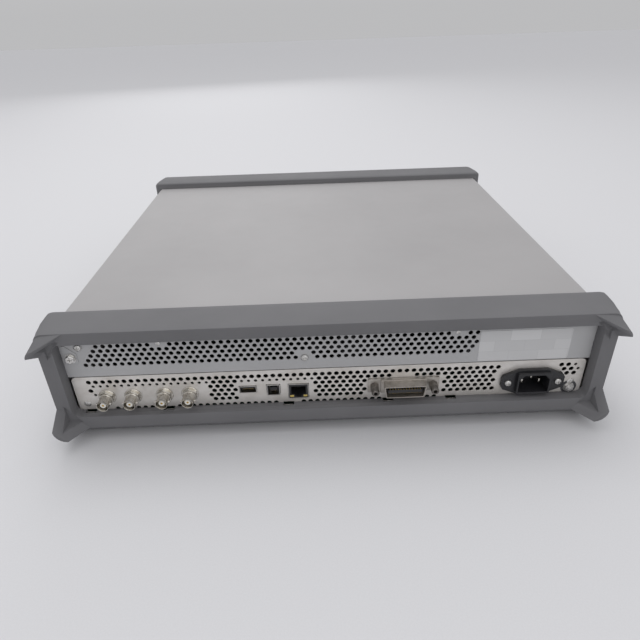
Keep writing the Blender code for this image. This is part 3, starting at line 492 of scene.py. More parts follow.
def painted_edge_highlight(made, colour_source, highlight_colour, low=0.52, high=0.62):
    """Painted highlight: lighter corners, from how far the surface points out."""
    nodes, links = made.node_tree.nodes, made.node_tree.links
    shape = nodes.new("ShaderNodeNewGeometry")
    sharp = nodes.new("ShaderNodeMapRange")
    sharp.inputs["From Min"].default_value = low
    sharp.inputs["From Max"].default_value = high
    sharp.inputs["To Max"].default_value = 0.6
    blend = nodes.new("ShaderNodeMix")
    blend.data_type = "RGBA"
    blend.inputs["B"].default_value = (*highlight_colour, 1.0)
    links.new(shape.outputs["Pointiness"], sharp.inputs["Value"])
    links.new(sharp.outputs["Result"], blend.inputs["Factor"])
    links.new(colour_source, blend.inputs["A"])
    links.new(blend.outputs["Result"], nodes["Principled BSDF"].inputs["Base Color"])


elastomer = new_finish("bumper_elastomer", (0.148, 0.147, 0.153), 0.62, specular=0.3)
elastomer_mottle = vary_colour(elastomer, (12.0, 4.0), (0.138, 0.137, 0.143), (0.158, 0.157, 0.163))
# Painted highlight: the bumpers' rounded edges are made lighter, standing for the sheen of light along them.
painted_edge_highlight(elastomer, elastomer_mottle, (0.225, 0.224, 0.23))
vary_roughness(elastomer, (40.0, 4.0), 0.55, 0.72)
emboss(elastomer, (2600.0, 2.0), 0.00006, 0.5)


def hold(shapes):
    """Selects these shapes alone, the first of them in hand."""
    deselect()
    for shape in shapes:
        shape.select_set(True)
    bpy.context.view_layer.objects.active = shapes[0]


def merged_copy(node):
    """A copy of a CAD node's shape as one closed mesh of flat faces, in hand."""
    copy = bpy.data.objects.new(node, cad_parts[node].data.copy())
    bpy.context.scene.collection.objects.link(copy)
    hold([copy])
    bpy.ops.object.mode_set(mode="EDIT")
    bpy.ops.mesh.select_all(action="SELECT")
    bpy.ops.mesh.remove_doubles(threshold=0.00001)
    bpy.ops.mesh.dissolve_limited(angle_limit=math.radians(1.5))
    bpy.ops.object.mode_set(mode="OBJECT")


def cut_away(piece, cutter):
    """Takes the cutter out of the piece, which ends up in hand."""
    hold([piece])
    add_modifier("BOOLEAN", operation="DIFFERENCE", object=cutter)
    apply_all()
    bpy.data.objects.remove(cutter)


def cut_boxes(boxes):
    """Cuts boxes, given by their lowest and highest corners, from the piece in hand."""
    piece = bpy.context.object
    for low, high in boxes:
        cut_away(piece, start_box(low, high))


for bumper, bumper_node, out in (("rear_moulding", "rear_bumper", 1), ("front_moulding", "front_bumper", -1)):
    merged_copy(bumper_node)
    y0, y1 = sorted((out * SLOT_NEAR, out * SLOT_FAR))
    cut_boxes(
        ((x * MM - SLOT_WIDE / 2, y0, SLOT_FOOT), (x * MM + SLOT_WIDE / 2, y1, SLOT_TOP)) for x in SLOT_PLACES
    )
    round_edges(BUMPER_EDGE, 2, 24)
    settle(bumper, elastomer, bumper_node, smooth=38)


# Rating label: a blank printed film stuck on the upper rear panel, with plain grey fields.
# It carries no lettering.

LABEL_LOW = (-187.0 * MM, 6.6 * MM)  # across, and height above the top row of the lower panel's holes
LABEL_HIGH = (-116.0 * MM, 34.0 * MM)
LABEL_FILM = 0.15 * MM
FILM_GAP = 0.02 * MM  # between the label and the panel
LABEL_FORM = (("Scale", 58.0), ("Brick Width", 1.35), ("Row Height", 0.55), ("Mortar Size", 0.008))
LABEL_SHADES = (("Color1", (0.5, 0.5, 0.505)), ("Color2", (0.58, 0.58, 0.585)), ("Mortar", (0.46, 0.46, 0.465)))

label_film = new_finish("label_film", (0.55, 0.55, 0.56), 0.3)
label_nodes, label_links = label_film.node_tree.nodes, label_film.node_tree.links
label_place = label_nodes.new("ShaderNodeTexCoord")
label_flat = label_nodes.new("ShaderNodeMapping")
label_flat.inputs["Rotation"].default_value = (math.pi / 2, 0.0, 0.0)
label_flat.inputs["Location"].default_value = (0.0, 0.0006, 0.0)
label_form = label_nodes.new("ShaderNodeTexBrick")
for part, value in LABEL_FORM:
    label_form.inputs[part].default_value = value
for part, tint in LABEL_SHADES:
    label_form.inputs[part].default_value = (*tint, 1.0)
label_links.new(label_place.outputs["Object"], label_flat.inputs["Vector"])
label_links.new(label_flat.outputs["Vector"], label_form.inputs["Vector"])
label_links.new(label_form.outputs["Color"], label_nodes["Principled BSDF"].inputs["Base Color"])

outline = rounded_cut(LABEL_LOW[0], TOP_ROW + LABEL_LOW[1], LABEL_HIGH[0], TOP_ROW + LABEL_HIGH[1], 1.5 * MM)
sheet_cut([outline], REAR_FACE + FILM_GAP + LABEL_FILM, LABEL_FILM)
settle("blank_label", label_film)


# Screws: bright zinc-plated pan heads with a cross recess, and the stud that earths the case.
# Each is turned, with its recess punched in. A profile is (radius, distance from the panel) in millimetres.

CAPTIVE_WASHER = [(4.2, 0.0), (4.2, 0.7), (0.2, 0.7)]
CAPTIVE_HEXAGON = [(3.7, 0.6), (3.7, 2.3), (3.2, 2.7), (0.2, 2.7)]
STUD_WASHER = [(4.4, 0.0), (4.4, 0.6), (0.2, 0.6)]
STUD_NUT = [(3.6, 0.5), (3.6, 2.4), (2.1, 2.4), (2.0, 3.0), (0.2, 3.0)]
EARTH_RING = [(6.4, 0.02), (6.4, 0.12), (5.3, 0.12), (5.3, 0.03)]
PAN_TALL = 1.9
SMALL_TALL = 0.8
RECESS_REACH = 0.55  # of a head's radius

bright_zinc = new_finish("bright_zinc", (0.62, 0.61, 0.6), 0.25, 1.0)
vary_colour(bright_zinc, (700.0, 3.0), (0.5, 0.49, 0.47), (0.7, 0.69, 0.68))
vary_roughness(bright_zinc, (1200.0, 3.0), 0.18, 0.38)
ring_ink = new_finish("ring_ink", (0.05, 0.05, 0.055), 0.5)
vary_colour(ring_ink, (500.0, 3.0), (0.04, 0.04, 0.045), (0.07, 0.07, 0.075))


def on_face(node, face_y=REAR_FACE, raised=0.0):
    """The point of a panel's face that a node's middle lies over."""
    place = middle_of(node)
    return (place.x, face_y + raised, place.z)


def corners(at, across, along, up):
    """The lowest and highest corners of a box, from how far it spans about a point in millimetres."""
    return zip(*((middle + a * MM, middle + b * MM) for middle, (a, b) in zip(at, (across, along, up))))


def turned(profile, at, out, sides, paint, angle=35):
    """A turned shape that stands out of a panel at a point of its face."""
    deselect()
    profile = [(radius * MM, height * MM) for radius, height in profile]
    first_radius, first = profile[0]
    bpy.ops.mesh.primitive_circle_add(vertices=sides, radius=first_radius, fill_type="NGON")
    shape = bpy.context.object
    bpy.ops.object.mode_set(mode="EDIT")
    bpy.ops.mesh.select_all(action="SELECT")
    for (radius, height), (next_radius, next_height) in zip(profile, profile[1:]):
        bpy.ops.mesh.extrude_region_move(TRANSFORM_OT_translate={"value": (0.0, 0.0, next_height - height)})
        share = next_radius / radius
        bpy.ops.transform.resize(value=(share, share, 1.0))
    bpy.ops.mesh.select_all(action="SELECT")
    bpy.ops.mesh.normals_make_consistent(inside=False)
    bpy.ops.object.mode_set(mode="OBJECT")
    shape.location = (at[0], at[1] + out * first, at[2])
    shape.rotation_euler = (-out * math.pi / 2, 0.0, 0.0)
    apply_place()
    shade(angle)
    shape.data.materials.append(paint)
    return shape


def join(shapes):
    """One piece from several shapes, in hand."""
    hold(shapes)
    bpy.ops.object.join()


def cross_recess(at, top, radius, deep=0.9):
    """Cuts a cross into the head in hand, from the height of its top and the reach of its arms."""
    arm, thin, along = (-radius, radius), (-radius * 0.22, radius * 0.22), (top - deep, top + deep)
    cut_boxes((corners(at, arm, along, thin), corners(at, thin, along, arm)))


def pan_head(name, node, head, raised=0.0):
    at = on_face(node, raised=raised)
    shares = ((1.0, 0.0), (1.0, 0.45), (0.93, 0.7), (0.75, 0.9), (0.5, 1.0), (0.06, 1.0))
    turned([(head * wide, PAN_TALL * high) for wide, high in shares], at, 1, 28, bright_zinc)
    cross_recess(at, PAN_TALL, head * RECESS_REACH)
    settle(name, node=node)


pan_head("centre_screw", "panel_screw_centre", 2.9)
pan_head("corner_screw", "panel_screw_corner", 2.9)
pan_head("inlet_left_screw", "inlet_screw_left", 2.8, 3.3 * MM)
pan_head("inlet_right_screw", "inlet_screw_right", 2.8, 3.3 * MM)

for number, (x, rise, head) in enumerate(SMALL_SCREWS, 1):
    at = (x * MM, REAR_FACE, TOP_ROW + rise * MM)
    profile = [(head, 0.0), (head, 0.4), (head * 0.7, 0.75), (0.1, SMALL_TALL)]
    turned(profile, at, 1, 20, bright_zinc)
    cross_recess(at, SMALL_TALL, head * RECESS_REACH, 0.4)
    settle(f"small_screw_{number}")

at = on_face("captive_screw", raised=CORNER_RISE)
washer = turned(CAPTIVE_WASHER, at, 1, 28, bright_zinc)
turned(CAPTIVE_HEXAGON, at, 1, 6, bright_zinc, 20)
cross_recess(at, 2.7, 1.9)
join([washer, bpy.context.object])
settle("captive_panel_screw", node="captive_screw")

at = on_face("ground_stud")
join([turned(STUD_WASHER, at, 1, 28, bright_zinc), turned(STUD_NUT, at, 1, 6, bright_zinc, 20)])
settle("earth_stud", node="ground_stud")
turned(EARTH_RING, at, 1, 40, ring_ink)
settle("earth_ring")


# BNC jacks: nickel-plated bayonet sockets, each through a hole with its washer and collar.
# Two lugs hold the plug, and a white insulator carries the gilt contact.

JACK_WASHER = [(6.95, 0.1), (6.95, 0.8), (6.7, 1.0), (0.5, 1.0)]
JACK_COLLAR = [(6.3, 0.9), (6.3, 2.7), (5.9, 3.2), (0.5, 3.2)]
JACK_BARREL = [
    (5.1, 3.0), (5.1, 4.4), (4.75, 4.7), (4.75, 12.2), (4.55, 13.0), (4.25, 13.0),
    (4.05, 12.6), (4.05, 5.2), (0.5, 5.2),
]
JACK_CORE = [(2.4, 5.0), (2.4, 11.3), (2.2, 11.5), (1.05, 11.5), (1.05, 9.0), (0.1, 9.0)]
JACK_PIN = [(0.85, 8.8), (0.85, 11.2), (0.5, 11.2), (0.5, 10.0), (0.05, 10.0)]
LUG_RADIUS = 1.0 * MM
LUG_LONG = 1.6 * MM
LUG_OUT = 9.3 * MM
LUG_ASIDE = 5.2 * MM

nickel = new_finish("nickel_plate", (0.6, 0.575, 0.53), 0.22, 1.0)
vary_colour(nickel, (260.0, 4.0), (0.47, 0.44, 0.39), (0.66, 0.64, 0.6))
vary_roughness(nickel, (500.0, 3.0), 0.16, 0.34)
insulator = new_finish("white_insulator", (0.78, 0.76, 0.7), 0.4)
vary_colour(insulator, (800.0,), (0.72, 0.7, 0.64), (0.82, 0.8, 0.75))
gilt = new_finish("gilt_contact", (0.83, 0.62, 0.25), 0.25, 1.0)
vary_colour(gilt, (1500.0,), (0.75, 0.54, 0.2), (0.87, 0.67, 0.3))


def bnc_jack(name, node, face_y, out):
    at = on_face(node, face_y)
    shapes = [
        turned(JACK_WASHER, at, out, 40, nickel), turned(JACK_COLLAR, at, out, 6, nickel, 20),
        turned(JACK_BARREL, at, out, 40, nickel), turned(JACK_CORE, at, out, 28, insulator),
        turned(JACK_PIN, at, out, 16, gilt),
    ]
    for side in (-1, 1):
        deselect()
        bpy.ops.mesh.primitive_cylinder_add(
            vertices=16, radius=LUG_RADIUS, depth=LUG_LONG, rotation=(0.0, math.pi / 2, 0.0),
            location=(at[0] + side * LUG_ASIDE, face_y + out * LUG_OUT, at[2]),
        )
        choose(edges=lambda edge: abs(edge_way(edge).z) < 0.99)
        bpy.ops.mesh.bevel(offset=0.2 * MM, segments=2)
        shade(35)
        bpy.context.object.data.materials.append(nickel)
        shapes.append(bpy.context.object)
    join(shapes)
    settle(name, node=node)


for number in range(1, 5):
    bnc_jack(f"rear_jack_{number}", f"bnc_rear_{number}", REAR_FACE, 1)


# Data sockets: plated shells flush with the panel, with moulded tongues and gilt contacts inside.
# The two USB ports and the network jack stand on the main board behind their cut-outs.

shell_steel = new_finish("socket_shell", (0.55, 0.54, 0.52), 0.28, 1.0)
vary_colour(shell_steel, (400.0, 3.0), (0.44, 0.43, 0.41), (0.6, 0.59, 0.57))
black_moulding = new_finish("black_moulding", (0.014, 0.014, 0.016), 0.4)
vary_colour(black_moulding, (60.0, 3.0), (0.010, 0.010, 0.012), (0.022, 0.022, 0.025))
emboss(black_moulding, (3000.0,), 0.00003, 0.4)
vary_roughness(black_moulding, (90.0, 3.0), 0.32, 0.5)
amber_lens = new_finish("indicator_lens", (0.55, 0.42, 0.12), 0.15)
vary_colour(amber_lens, (600.0,), (0.5, 0.38, 0.1), (0.6, 0.46, 0.15))


def painted_box(ends, paint, edge=0.0):
    """A box in its finish, from its lowest and highest corners, with edges rounded by so many millimetres."""
    box = start_box(*ends)
    if edge:
        choose(edges=lambda e: True)
        bpy.ops.mesh.bevel(offset=edge * MM, segments=2)
        shade(35)
    box.data.materials.append(paint)
    return box


def hollow_out(rim, deep, out=1):
    """Insets the outward face of the piece in hand and pushes its middle in, by millimetres."""
    choose(faces=lambda face: face.normal.y * out > 0.9)
    bpy.ops.mesh.inset(thickness=rim * MM, depth=0.0)
    bpy.ops.mesh.extrude_region_move(TRANSFORM_OT_translate={"value": (0.0, -out * deep * MM, 0.0)})
    bpy.ops.object.mode_set(mode="OBJECT")


def socket_shell(node, wall, deep, out=1):
    shell = start_box(*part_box(node))
    choose(edges=lambda e: abs(edge_way(e).y) > 0.9)
    bpy.ops.mesh.bevel(offset=0.5 * MM, segments=2)
    hollow_out(wall, deep, out)
    shell.data.materials.append(shell_steel)
    return shell


def contact_row(at, rise, along, count, pitch, wide=0.9, thick=0.24):
    """Gilt strips side by side along a tongue, in millimetres about a point."""
    spread = [(i - (count - 1) / 2) * pitch for i in range(count)]
    up = (rise - thick / 2, rise + thick / 2)
    return [painted_box(corners(at, (x - wide / 2, x + wide / 2), along, up), gilt) for x in spread]


def usb_a(name, node, face_y, out):
    at = on_face(node, face_y)
    along = sorted((-out * 9, -out * 0.8))
    shapes = [socket_shell(node, 0.55, 10, out)]
    shapes.append(painted_box(corners(at, (-5.4, 5.4), along, (0.1, 1.9)), black_moulding, 0.15))
    join(shapes + contact_row(at, 0.0, along, 4, 2.3, 1.0))
    settle(name, node=node)


usb_a("rear_usb_port", "usb_a_rear", REAR_FACE, 1)

at = on_face("usb_b_rear")
shapes = [socket_shell("usb_b_rear", 0.7, 10)]
shapes.append(painted_box(corners(at, (-2.9, 2.9), (-9, -0.9), (-1.5, 1.7)), black_moulding, 0.2))
for across in ((-4.65, -3.9), (3.9, 4.65)):
    shapes.append(painted_box(corners(at, across, (-9, -0.3), (-4.5, 4.5)), black_moulding, 0.1))
join(shapes + contact_row(at, -1.6, (-8, -1.2), 2, 2.2))
settle("device_usb_port", node="usb_b_rear")

at = on_face("lan_jack")
shapes = [socket_shell("lan_jack", 0.5, 15)]
shapes.append(painted_box(corners(at, (-7.5, 7.5), (-14, 0.25), (-6.4, 6.4)), black_moulding))
cut_boxes(
    corners(at, (-half, half), (-12, 1.25), up)
    for half, up in ((5.9, (-3.4, 4.4)), (3.1, (-4.9, -3.0)), (1.7, (-5.9, -4.5)))  # mouth, latch, key way
)
shapes += contact_row(at, 3.9, (-8, -2), 8, 1.02, 0.35, 0.35)
for lens in (-5.4, 5.4):
    shapes.append(painted_box(corners(at, (lens - 1.6, lens + 1.6), (-2, 0.4), (-5.9, -4.1)), amber_lens, 0.2))
join(shapes)
settle("network_jack", node="lan_jack")


# Instrument bus connector: a plated flange and a deep shell, wider at the top, with 24 contacts.
# A post stands at each end for the plug's screws.

POST_FOOT = [(3.6, 1.8), (3.6, 6.6), (3.2, 7.0), (0.3, 7.0)]
POST_PILLAR = [(3.1, 6.8), (3.1, 11.6), (2.7, 12.4), (1.6, 12.4), (1.5, 7.5), (0.1, 7.5)]

tongue_paint = new_finish("bus_insulator", (0.02, 0.02, 0.022), 0.4)
vary_colour(tongue_paint, (90.0,), (0.016, 0.016, 0.018), (0.03, 0.03, 0.033))
satin_plate = new_finish("satin_plate", (0.47, 0.44, 0.4), 0.42, 0.9)
vary_colour(satin_plate, (220.0, 4.0), (0.38, 0.35, 0.31), (0.52, 0.49, 0.455))
vary_roughness(satin_plate, (500.0, 3.0), 0.36, 0.5)
post_steel = new_finish("post_steel", (0.2, 0.185, 0.17), 0.36, 0.9)
vary_colour(post_steel, (320.0, 3.0), (0.14, 0.13, 0.12), (0.26, 0.24, 0.22))

at = on_face("gpib_connector")
low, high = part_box("gpib_connector")
flange_half = (high.x - low.x) / 2 / MM
plate = painted_box(corners(at, (-flange_half, flange_half), (0.3, 1.8), (-6.4, 6.4)), satin_plate, 0.3)
step = painted_box(corners(at, (-18.6, 18.6), (1.5, 3.4), (-6.2, 6.2)), satin_plate, 0.5)
shell = start_box(*corners(at, (-16.6, 16.6), (3.0, 11.6), (-5.3, 5.3)))
choose(edges=lambda e: abs(edge_way(e).x) > 0.9 and edge_middle(e).z < at[2])
bpy.ops.transform.resize(value=(0.9, 1.0, 1.0))
choose(edges=lambda e: abs(e.verts[0].co.y - e.verts[1].co.y) > 4 * MM)
bpy.ops.mesh.bevel(offset=1.3 * MM, segments=4)
hollow_out(0.7, 8.0)
shade(30)
shell.data.materials.append(satin_plate)
backing = painted_box(corners(at, (-14.6, 14.6), (3.4, 4.6), (-4.4, 4.4)), tongue_paint)
tongue = painted_box(corners(at, (-13.6, 13.6), (4.2, 10.4), (-1.5, 1.5)), tongue_paint, 0.3)
shapes = [plate, step, shell, backing, tongue]
for rise in (-1.65, 1.65):
    shapes += contact_row(at, rise, (4.4, 10.0), 12, 2.16, thick=0.3)
join(shapes)
settle("instrument_bus_connector", node="gpib_connector")

for side in ("left", "right"):
    at = on_face(f"gpib_post_{side}")
    join([turned(POST_FOOT, at, 1, 6, post_steel, 20), turned(POST_PILLAR, at, 1, 28, post_steel)])
    settle(f"bus_post_{side}", node=f"gpib_post_{side}")


# Mains inlet: a black moulded socket with a raised body and two sloping wings that its screws go through.
# Three plated blades stand in its mouth.

INLET_FLANGE = 3.0 * MM
INLET_BODY_REACH = 6.2 * MM
INLET_DEEP = 14 * MM
WING_END = 5.4 * MM
BODY_HALF_W = 13.4 * MM
BODY_HALF_H = 9.9 * MM
BODY_GAP = 0.5 * MM  # of the wings' opening inside the body's outline
MOUTH_HALF_W = 12.0 * MM
MOUTH_HALF_H = 8.0 * MM
MOUTH_CORNER = 4.0 * MM

inlet_x, inlet_z = middle_of("ac_inlet").xz
low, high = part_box("ac_inlet")
wing_half, wing_tall = (high.x - low.x) / 2, (high.z - low.z) / 2


def body_outline(inside, radius):
    half_w, half_h = BODY_HALF_W - inside, BODY_HALF_H - inside
    return rounded_cut(inlet_x - half_w, inlet_z - half_h, inlet_x + half_w, inlet_z + half_h, radius)


quarter = [
    (wing_half, WING_END - 1.5 * MM), (wing_half - 1.5 * MM, WING_END + MM), (BODY_HALF_W - 2 * MM, wing_tall)
]
wing = [
    (inlet_x + sx * x, inlet_z + sz * z)
    for sx, sz, points in ((1, -1, quarter[::-1]), (1, 1, quarter), (-1, 1, quarter[::-1]), (-1, -1, quarter))
    for x, z in points
]
mouth = [
    (inlet_x + x, inlet_z + z)
    for x, z in (
        (-MOUTH_HALF_W, -MOUTH_HALF_H), (MOUTH_HALF_W, -MOUTH_HALF_H),
        (MOUTH_HALF_W, MOUTH_HALF_H - MOUTH_CORNER), (MOUTH_HALF_W - MOUTH_CORNER, MOUTH_HALF_H),
        (MOUTH_CORNER - MOUTH_HALF_W, MOUTH_HALF_H), (-MOUTH_HALF_W, MOUTH_HALF_H - MOUTH_CORNER),
    )
]
shapes = []
for outlines, front, thickness, edge, angle in (
    ([wing, body_outline(BODY_GAP, 1.2 * MM)], 0.3 * MM + INLET_FLANGE, INLET_FLANGE, 0.6 * MM, 60),
    ([body_outline(0.0, 1.6 * MM), mouth], INLET_BODY_REACH, INLET_BODY_REACH + INLET_DEEP, 0.5 * MM, 40),
):
    shape = sheet_cut(outlines, REAR_FACE + front, thickness)
    apply_place()
    round_edges(edge, 3, angle)
    shape.data.materials.clear()
    shape.data.materials.append(black_moulding)
    shapes.append(shape)
at = on_face("ac_inlet")
shapes.append(painted_box(corners(at, (-12.6, 12.6), (-14, -11.6), (-8.6, 8.6)), black_moulding))
for x, z in ((-7.0, -2.0), (7.0, -2.0), (0.0, 2.6)):
    blade = corners(at, (x - 0.8, x + 0.8), (-13, -0.8), (z - 1.9, z + 1.9))
    shapes.append(painted_box(blade, nickel, 0.35))
join(shapes)
shade(30)
settle("mains_inlet", node="ac_inlet")


# Front moulding: the pale plastic face that holds every control, with a rim that the cover slides over.
# It is one injection-moulded part with softened edges.

FRONT_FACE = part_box("front_panel")[0].y
BEZEL_EDGE = 0.5 * MM

bezel_plastic = new_finish("bezel_plastic", (0.44, 0.435, 0.42), 0.5, specular=0.4)
vary_colour(bezel_plastic, (10.0, 3.0), (0.425, 0.42, 0.405), (0.455, 0.45, 0.435))
emboss(bezel_plastic, (2400.0,), 0.00004, 0.4)

merged_copy("front_panel")
round_edges(BEZEL_EDGE, 2, 60)
settle("front_face", bezel_plastic, "front_panel", smooth=35)


# Front overlays: two printed films on the moulding, dark round the display and grey behind the keypad.
# Each is die-cut from flat film, with an opening for every key.

OVERLAY = 0.3 * MM
KEY_ROOM = 0.7  # millimetres of opening round a key cap
CAP_FLANGE = 1.2  # millimetres of a key's hidden flange past its cap
FILM_MARGINS = (9 * MM, 7 * MM, 26 * MM, 6 * MM)  # past the window: left, below, right, above
PAD_MARGIN = 4 * MM
FILM_CORNER = 4 * MM

dark_film = new_finish("dark_film", (0.06, 0.062, 0.07), 0.35)
vary_colour(dark_film, (20.0, 3.0), (0.054, 0.056, 0.063), (0.068, 0.07, 0.078))
vary_roughness(dark_film, (120.0, 3.0), 0.3, 0.42)
grey_film = new_finish("grey_film", (0.2, 0.205, 0.215), 0.42)
vary_colour(grey_film, (20.0, 3.0), (0.19, 0.195, 0.205), (0.215, 0.22, 0.23))
vary_roughness(grey_film, (120.0, 3.0), 0.36, 0.48)


def key_cut(node):
    return rounded_cut(*around(node, KEY_ROOM - CAP_FLANGE, KEY_ROOM - CAP_FLANGE), 1.6 * MM)


soft_keys = [f"softkey_{n}" for n in range(1, 6)]
pad_keys = [f"key_{n}" for n in (*range(10), "point", "sign")]
low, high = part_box("display_window")
left, below, right, above = FILM_MARGINS
outline = rounded_cut(low.x - left, low.z - below, high.x + right, high.z + above, FILM_CORNER)
display_cut = rounded_cut(*around("display_window", -1, -1), 2 * MM)
sheet_cut([outline, display_cut, *[key_cut(key) for key in soft_keys]], FRONT_FACE, OVERLAY)
settle("display_overlay", dark_film)

low_x, low_z = (min(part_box(key)[0][axis] for key in pad_keys) - PAD_MARGIN for axis in (0, 2))
high_x, high_z = (max(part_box(key)[1][axis] for key in pad_keys) + PAD_MARGIN for axis in (0, 2))
outline = rounded_cut(low_x, low_z, high_x, high_z, FILM_CORNER)
sheet_cut([outline, *[key_cut(key) for key in pad_keys]], FRONT_FACE, OVERLAY)
settle("keypad_overlay", grey_film)


# Display: a clear window over a lit panel that shows a plain trace on a grid.
# The window is a flush plate of clear plastic with a rounded edge.

TRACE_CENTRE = middle_of("display_window")
TRACE_RISE = 4 * MM  # of the trace's middle line above the window's
TRACE_HALF = 17.0 * MM
TRACE_THICK = 0.8 * MM  # to each side
WAVE = 40.0 * MM  # length of one wave
GRID = 9.0 * MM
GRID_INK = 0.482  # a grid line's start, as a share of a square from its middle
FIELD_HALF = 20.0 * MM  # height of the lit field to each side of the middle line

clear_plastic = new_finish("clear_plastic", (0.9, 0.92, 0.93), 0.04)
clear_plastic.node_tree.nodes["Principled BSDF"].inputs["Transmission Weight"].default_value = 0.95
vary_roughness(clear_plastic, (30.0, 3.0), 0.02, 0.07)

painted_box(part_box("display_window"), clear_plastic, 0.5)
settle("display_glass", node="display_window")

lit_panel = new_finish("lit_panel", (0.01, 0.012, 0.016), 0.3)
lit_nodes, lit_links = lit_panel.node_tree.nodes, lit_panel.node_tree.links
lit_place = lit_nodes.new("ShaderNodeTexCoord")
lit_axes = lit_nodes.new("ShaderNodeSeparateXYZ")
lit_links.new(lit_place.outputs["Object"], lit_axes.inputs["Vector"])


def sum_of(operation, first, second=0.0):
    """One step of arithmetic on the lit panel's place."""
    step = lit_nodes.new("ShaderNodeMath")
    step.operation = operation
    for socket_in, value in zip(step.inputs, (first, second)):
        if isinstance(value, float):
            socket_in.default_value = value
        else:
            lit_links.new(value, socket_in)
    return step.outputs["Value"]


def on_lines(place):
    """Where the grid's lines run across one axis."""
    off_middle = sum_of("SUBTRACT", sum_of("FRACT", sum_of("DIVIDE", place, GRID)), 0.5)
    return sum_of("GREATER_THAN", sum_of("ABSOLUTE", off_middle), GRID_INK)


across = sum_of("SUBTRACT", lit_axes.outputs["X"], TRACE_CENTRE.x)
up = sum_of("SUBTRACT", lit_axes.outputs["Z"], TRACE_CENTRE.z + TRACE_RISE)
wave = sum_of("MULTIPLY", sum_of("SINE", sum_of("MULTIPLY", across, 2 * math.pi / WAVE)), TRACE_HALF)
on_trace = sum_of("LESS_THAN", sum_of("ABSOLUTE", sum_of("SUBTRACT", up, wave)), TRACE_THICK)
on_grid = sum_of("MAXIMUM", on_lines(across), on_lines(up))
field = sum_of("LESS_THAN", sum_of("ABSOLUTE", up), FIELD_HALF)
glow = lit_nodes.new("ShaderNodeMix")
glow.data_type = "RGBA"
glow.inputs["A"].default_value = (0.012, 0.03, 0.06, 1.0)
glow.inputs["B"].default_value = (0.05, 0.09, 0.13, 1.0)
lit_links.new(sum_of("MULTIPLY", on_grid, field), glow.inputs["Factor"])
lit_trace = lit_nodes.new("ShaderNodeMix")
lit_trace.data_type = "RGBA"
lit_trace.inputs["B"].default_value = (0.95, 0.75, 0.1, 1.0)
lit_links.new(glow.outputs["Result"], lit_trace.inputs["A"])
lit_links.new(sum_of("MULTIPLY", on_trace, field), lit_trace.inputs["Factor"])
lit_shader = lit_nodes["Principled BSDF"]
lit_links.new(lit_trace.outputs["Result"], lit_shader.inputs["Base Color"])
lit_links.new(lit_trace.outputs["Result"], lit_shader.inputs["Emission Color"])
lit_shader.inputs["Emission Strength"].default_value = 0.9

painted_box(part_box("display_module"), lit_panel, 0.5)
settle("display_panel", node="display_module")


# Keys: moulded silicone caps with soft edges and a shallow dish, each sliding in its own opening.
# The keypad carries printed digits, and the soft keys a short bar.

KEY_CORNER = 1.1 * MM
KEY_EDGE = 0.55 * MM
DISH_RIM = 1.4 * MM
DISH_SLOPE = 0.9 * MM
DISH_DEEP = 0.22 * MM
FLANGE_BACK = 4.3 * MM  # behind the moulding's face
FLANGE_THICK = 1.4 * MM
PRINT = 0.12 * MM  # thickness of the printed marks
MARK_HIGH = 5.6 * MM
MARKS = {"point": ".", "sign": "±"}

pale_rubber = new_finish("pale_rubber", (0.62, 0.61, 0.59), 0.6, specular=0.35)
vary_colour(pale_rubber, (60.0, 3.0), (0.59, 0.58, 0.56), (0.65, 0.64, 0.62))
emboss(pale_rubber, (3000.0,), 0.00004, 0.4)
dark_rubber = new_finish("dark_rubber", (0.1, 0.1, 0.108), 0.6, specular=0.35)
vary_colour(dark_rubber, (60.0, 3.0), (0.09, 0.09, 0.097), (0.115, 0.115, 0.123))
emboss(dark_rubber, (3000.0,), 0.00004, 0.4)
dark_print = new_finish("dark_print", (0.03, 0.03, 0.035), 0.5)
vary_colour(dark_print, (900.0,), (0.025, 0.025, 0.03), (0.04, 0.04, 0.045))
pale_print = new_finish("pale_print", (0.7, 0.7, 0.72), 0.5)
vary_colour(pale_print, (900.0,), (0.66, 0.66, 0.68), (0.73, 0.73, 0.75))


def key_cap(node, paint):
    """The cap of one key and the flange behind it, in hand."""
    low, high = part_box(node)
    flange_back = FRONT_FACE + FLANGE_BACK
    flange_low, flange_high = (low.x, flange_back, low.z), (high.x, flange_back + FLANGE_THICK, high.z)
    inward = Vector((CAP_FLANGE * MM, 0.0, CAP_FLANGE * MM))
    cap = start_box(low + inward, high - inward)
    choose(faces=lambda face: face.normal.y < -0.9)
    bpy.ops.mesh.inset(thickness=DISH_RIM, depth=0.0)
    bpy.ops.mesh.inset(thickness=DISH_SLOPE, depth=-DISH_DEEP)
    choose(edges=lambda e: abs(edge_way(e).y) > 0.9)
    bpy.ops.mesh.bevel(offset=KEY_CORNER, segments=4)
    choose(edges=lambda e: sorted(round(face.normal.y) for face in e.link_faces) == [-1, 0])
    bpy.ops.mesh.bevel(offset=KEY_EDGE, segments=3)
    shade(40)
    cap.data.materials.append(paint)
    return [cap, painted_box((flange_low, flange_high), paint, 0.3)]


def printed(mark, at):
    """A printed sign facing the front, a hair above a key."""
    deselect()
    bpy.ops.object.text_add(location=at, rotation=(math.pi / 2, 0.0, 0.0))
    sign = bpy.context.object
    sign.data.body = mark
    sign.data.size = MARK_HIGH
    sign.data.align_x = "CENTER"
    sign.data.align_y = "CENTER"
    sign.data.extrude = PRINT / 2
    bpy.ops.object.convert(target="MESH")
    apply_place()
    sign = bpy.context.object
    sign.data.materials.clear()
    sign.data.materials.append(dark_print)
    return sign


CAP_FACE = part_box("key_5")[0].y
for key in pad_keys:
    mark = printed(MARKS.get(key[4:], key[4:]), on_face(key, CAP_FACE, 0.2 * MM))
    join(key_cap(key, pale_rubber) + [mark])
    settle(f"cap_{key[4:]}", node=key, body=key)

for key in soft_keys:
    bar = corners(on_face(key, CAP_FACE), (-2.4, 2.4), (0.14, 0.3), (-0.35, 0.35))
    join(key_cap(key, dark_rubber) + [painted_box(bar, pale_print)])
    settle(f"soft_cap_{key[-1]}", node=key, body=key)

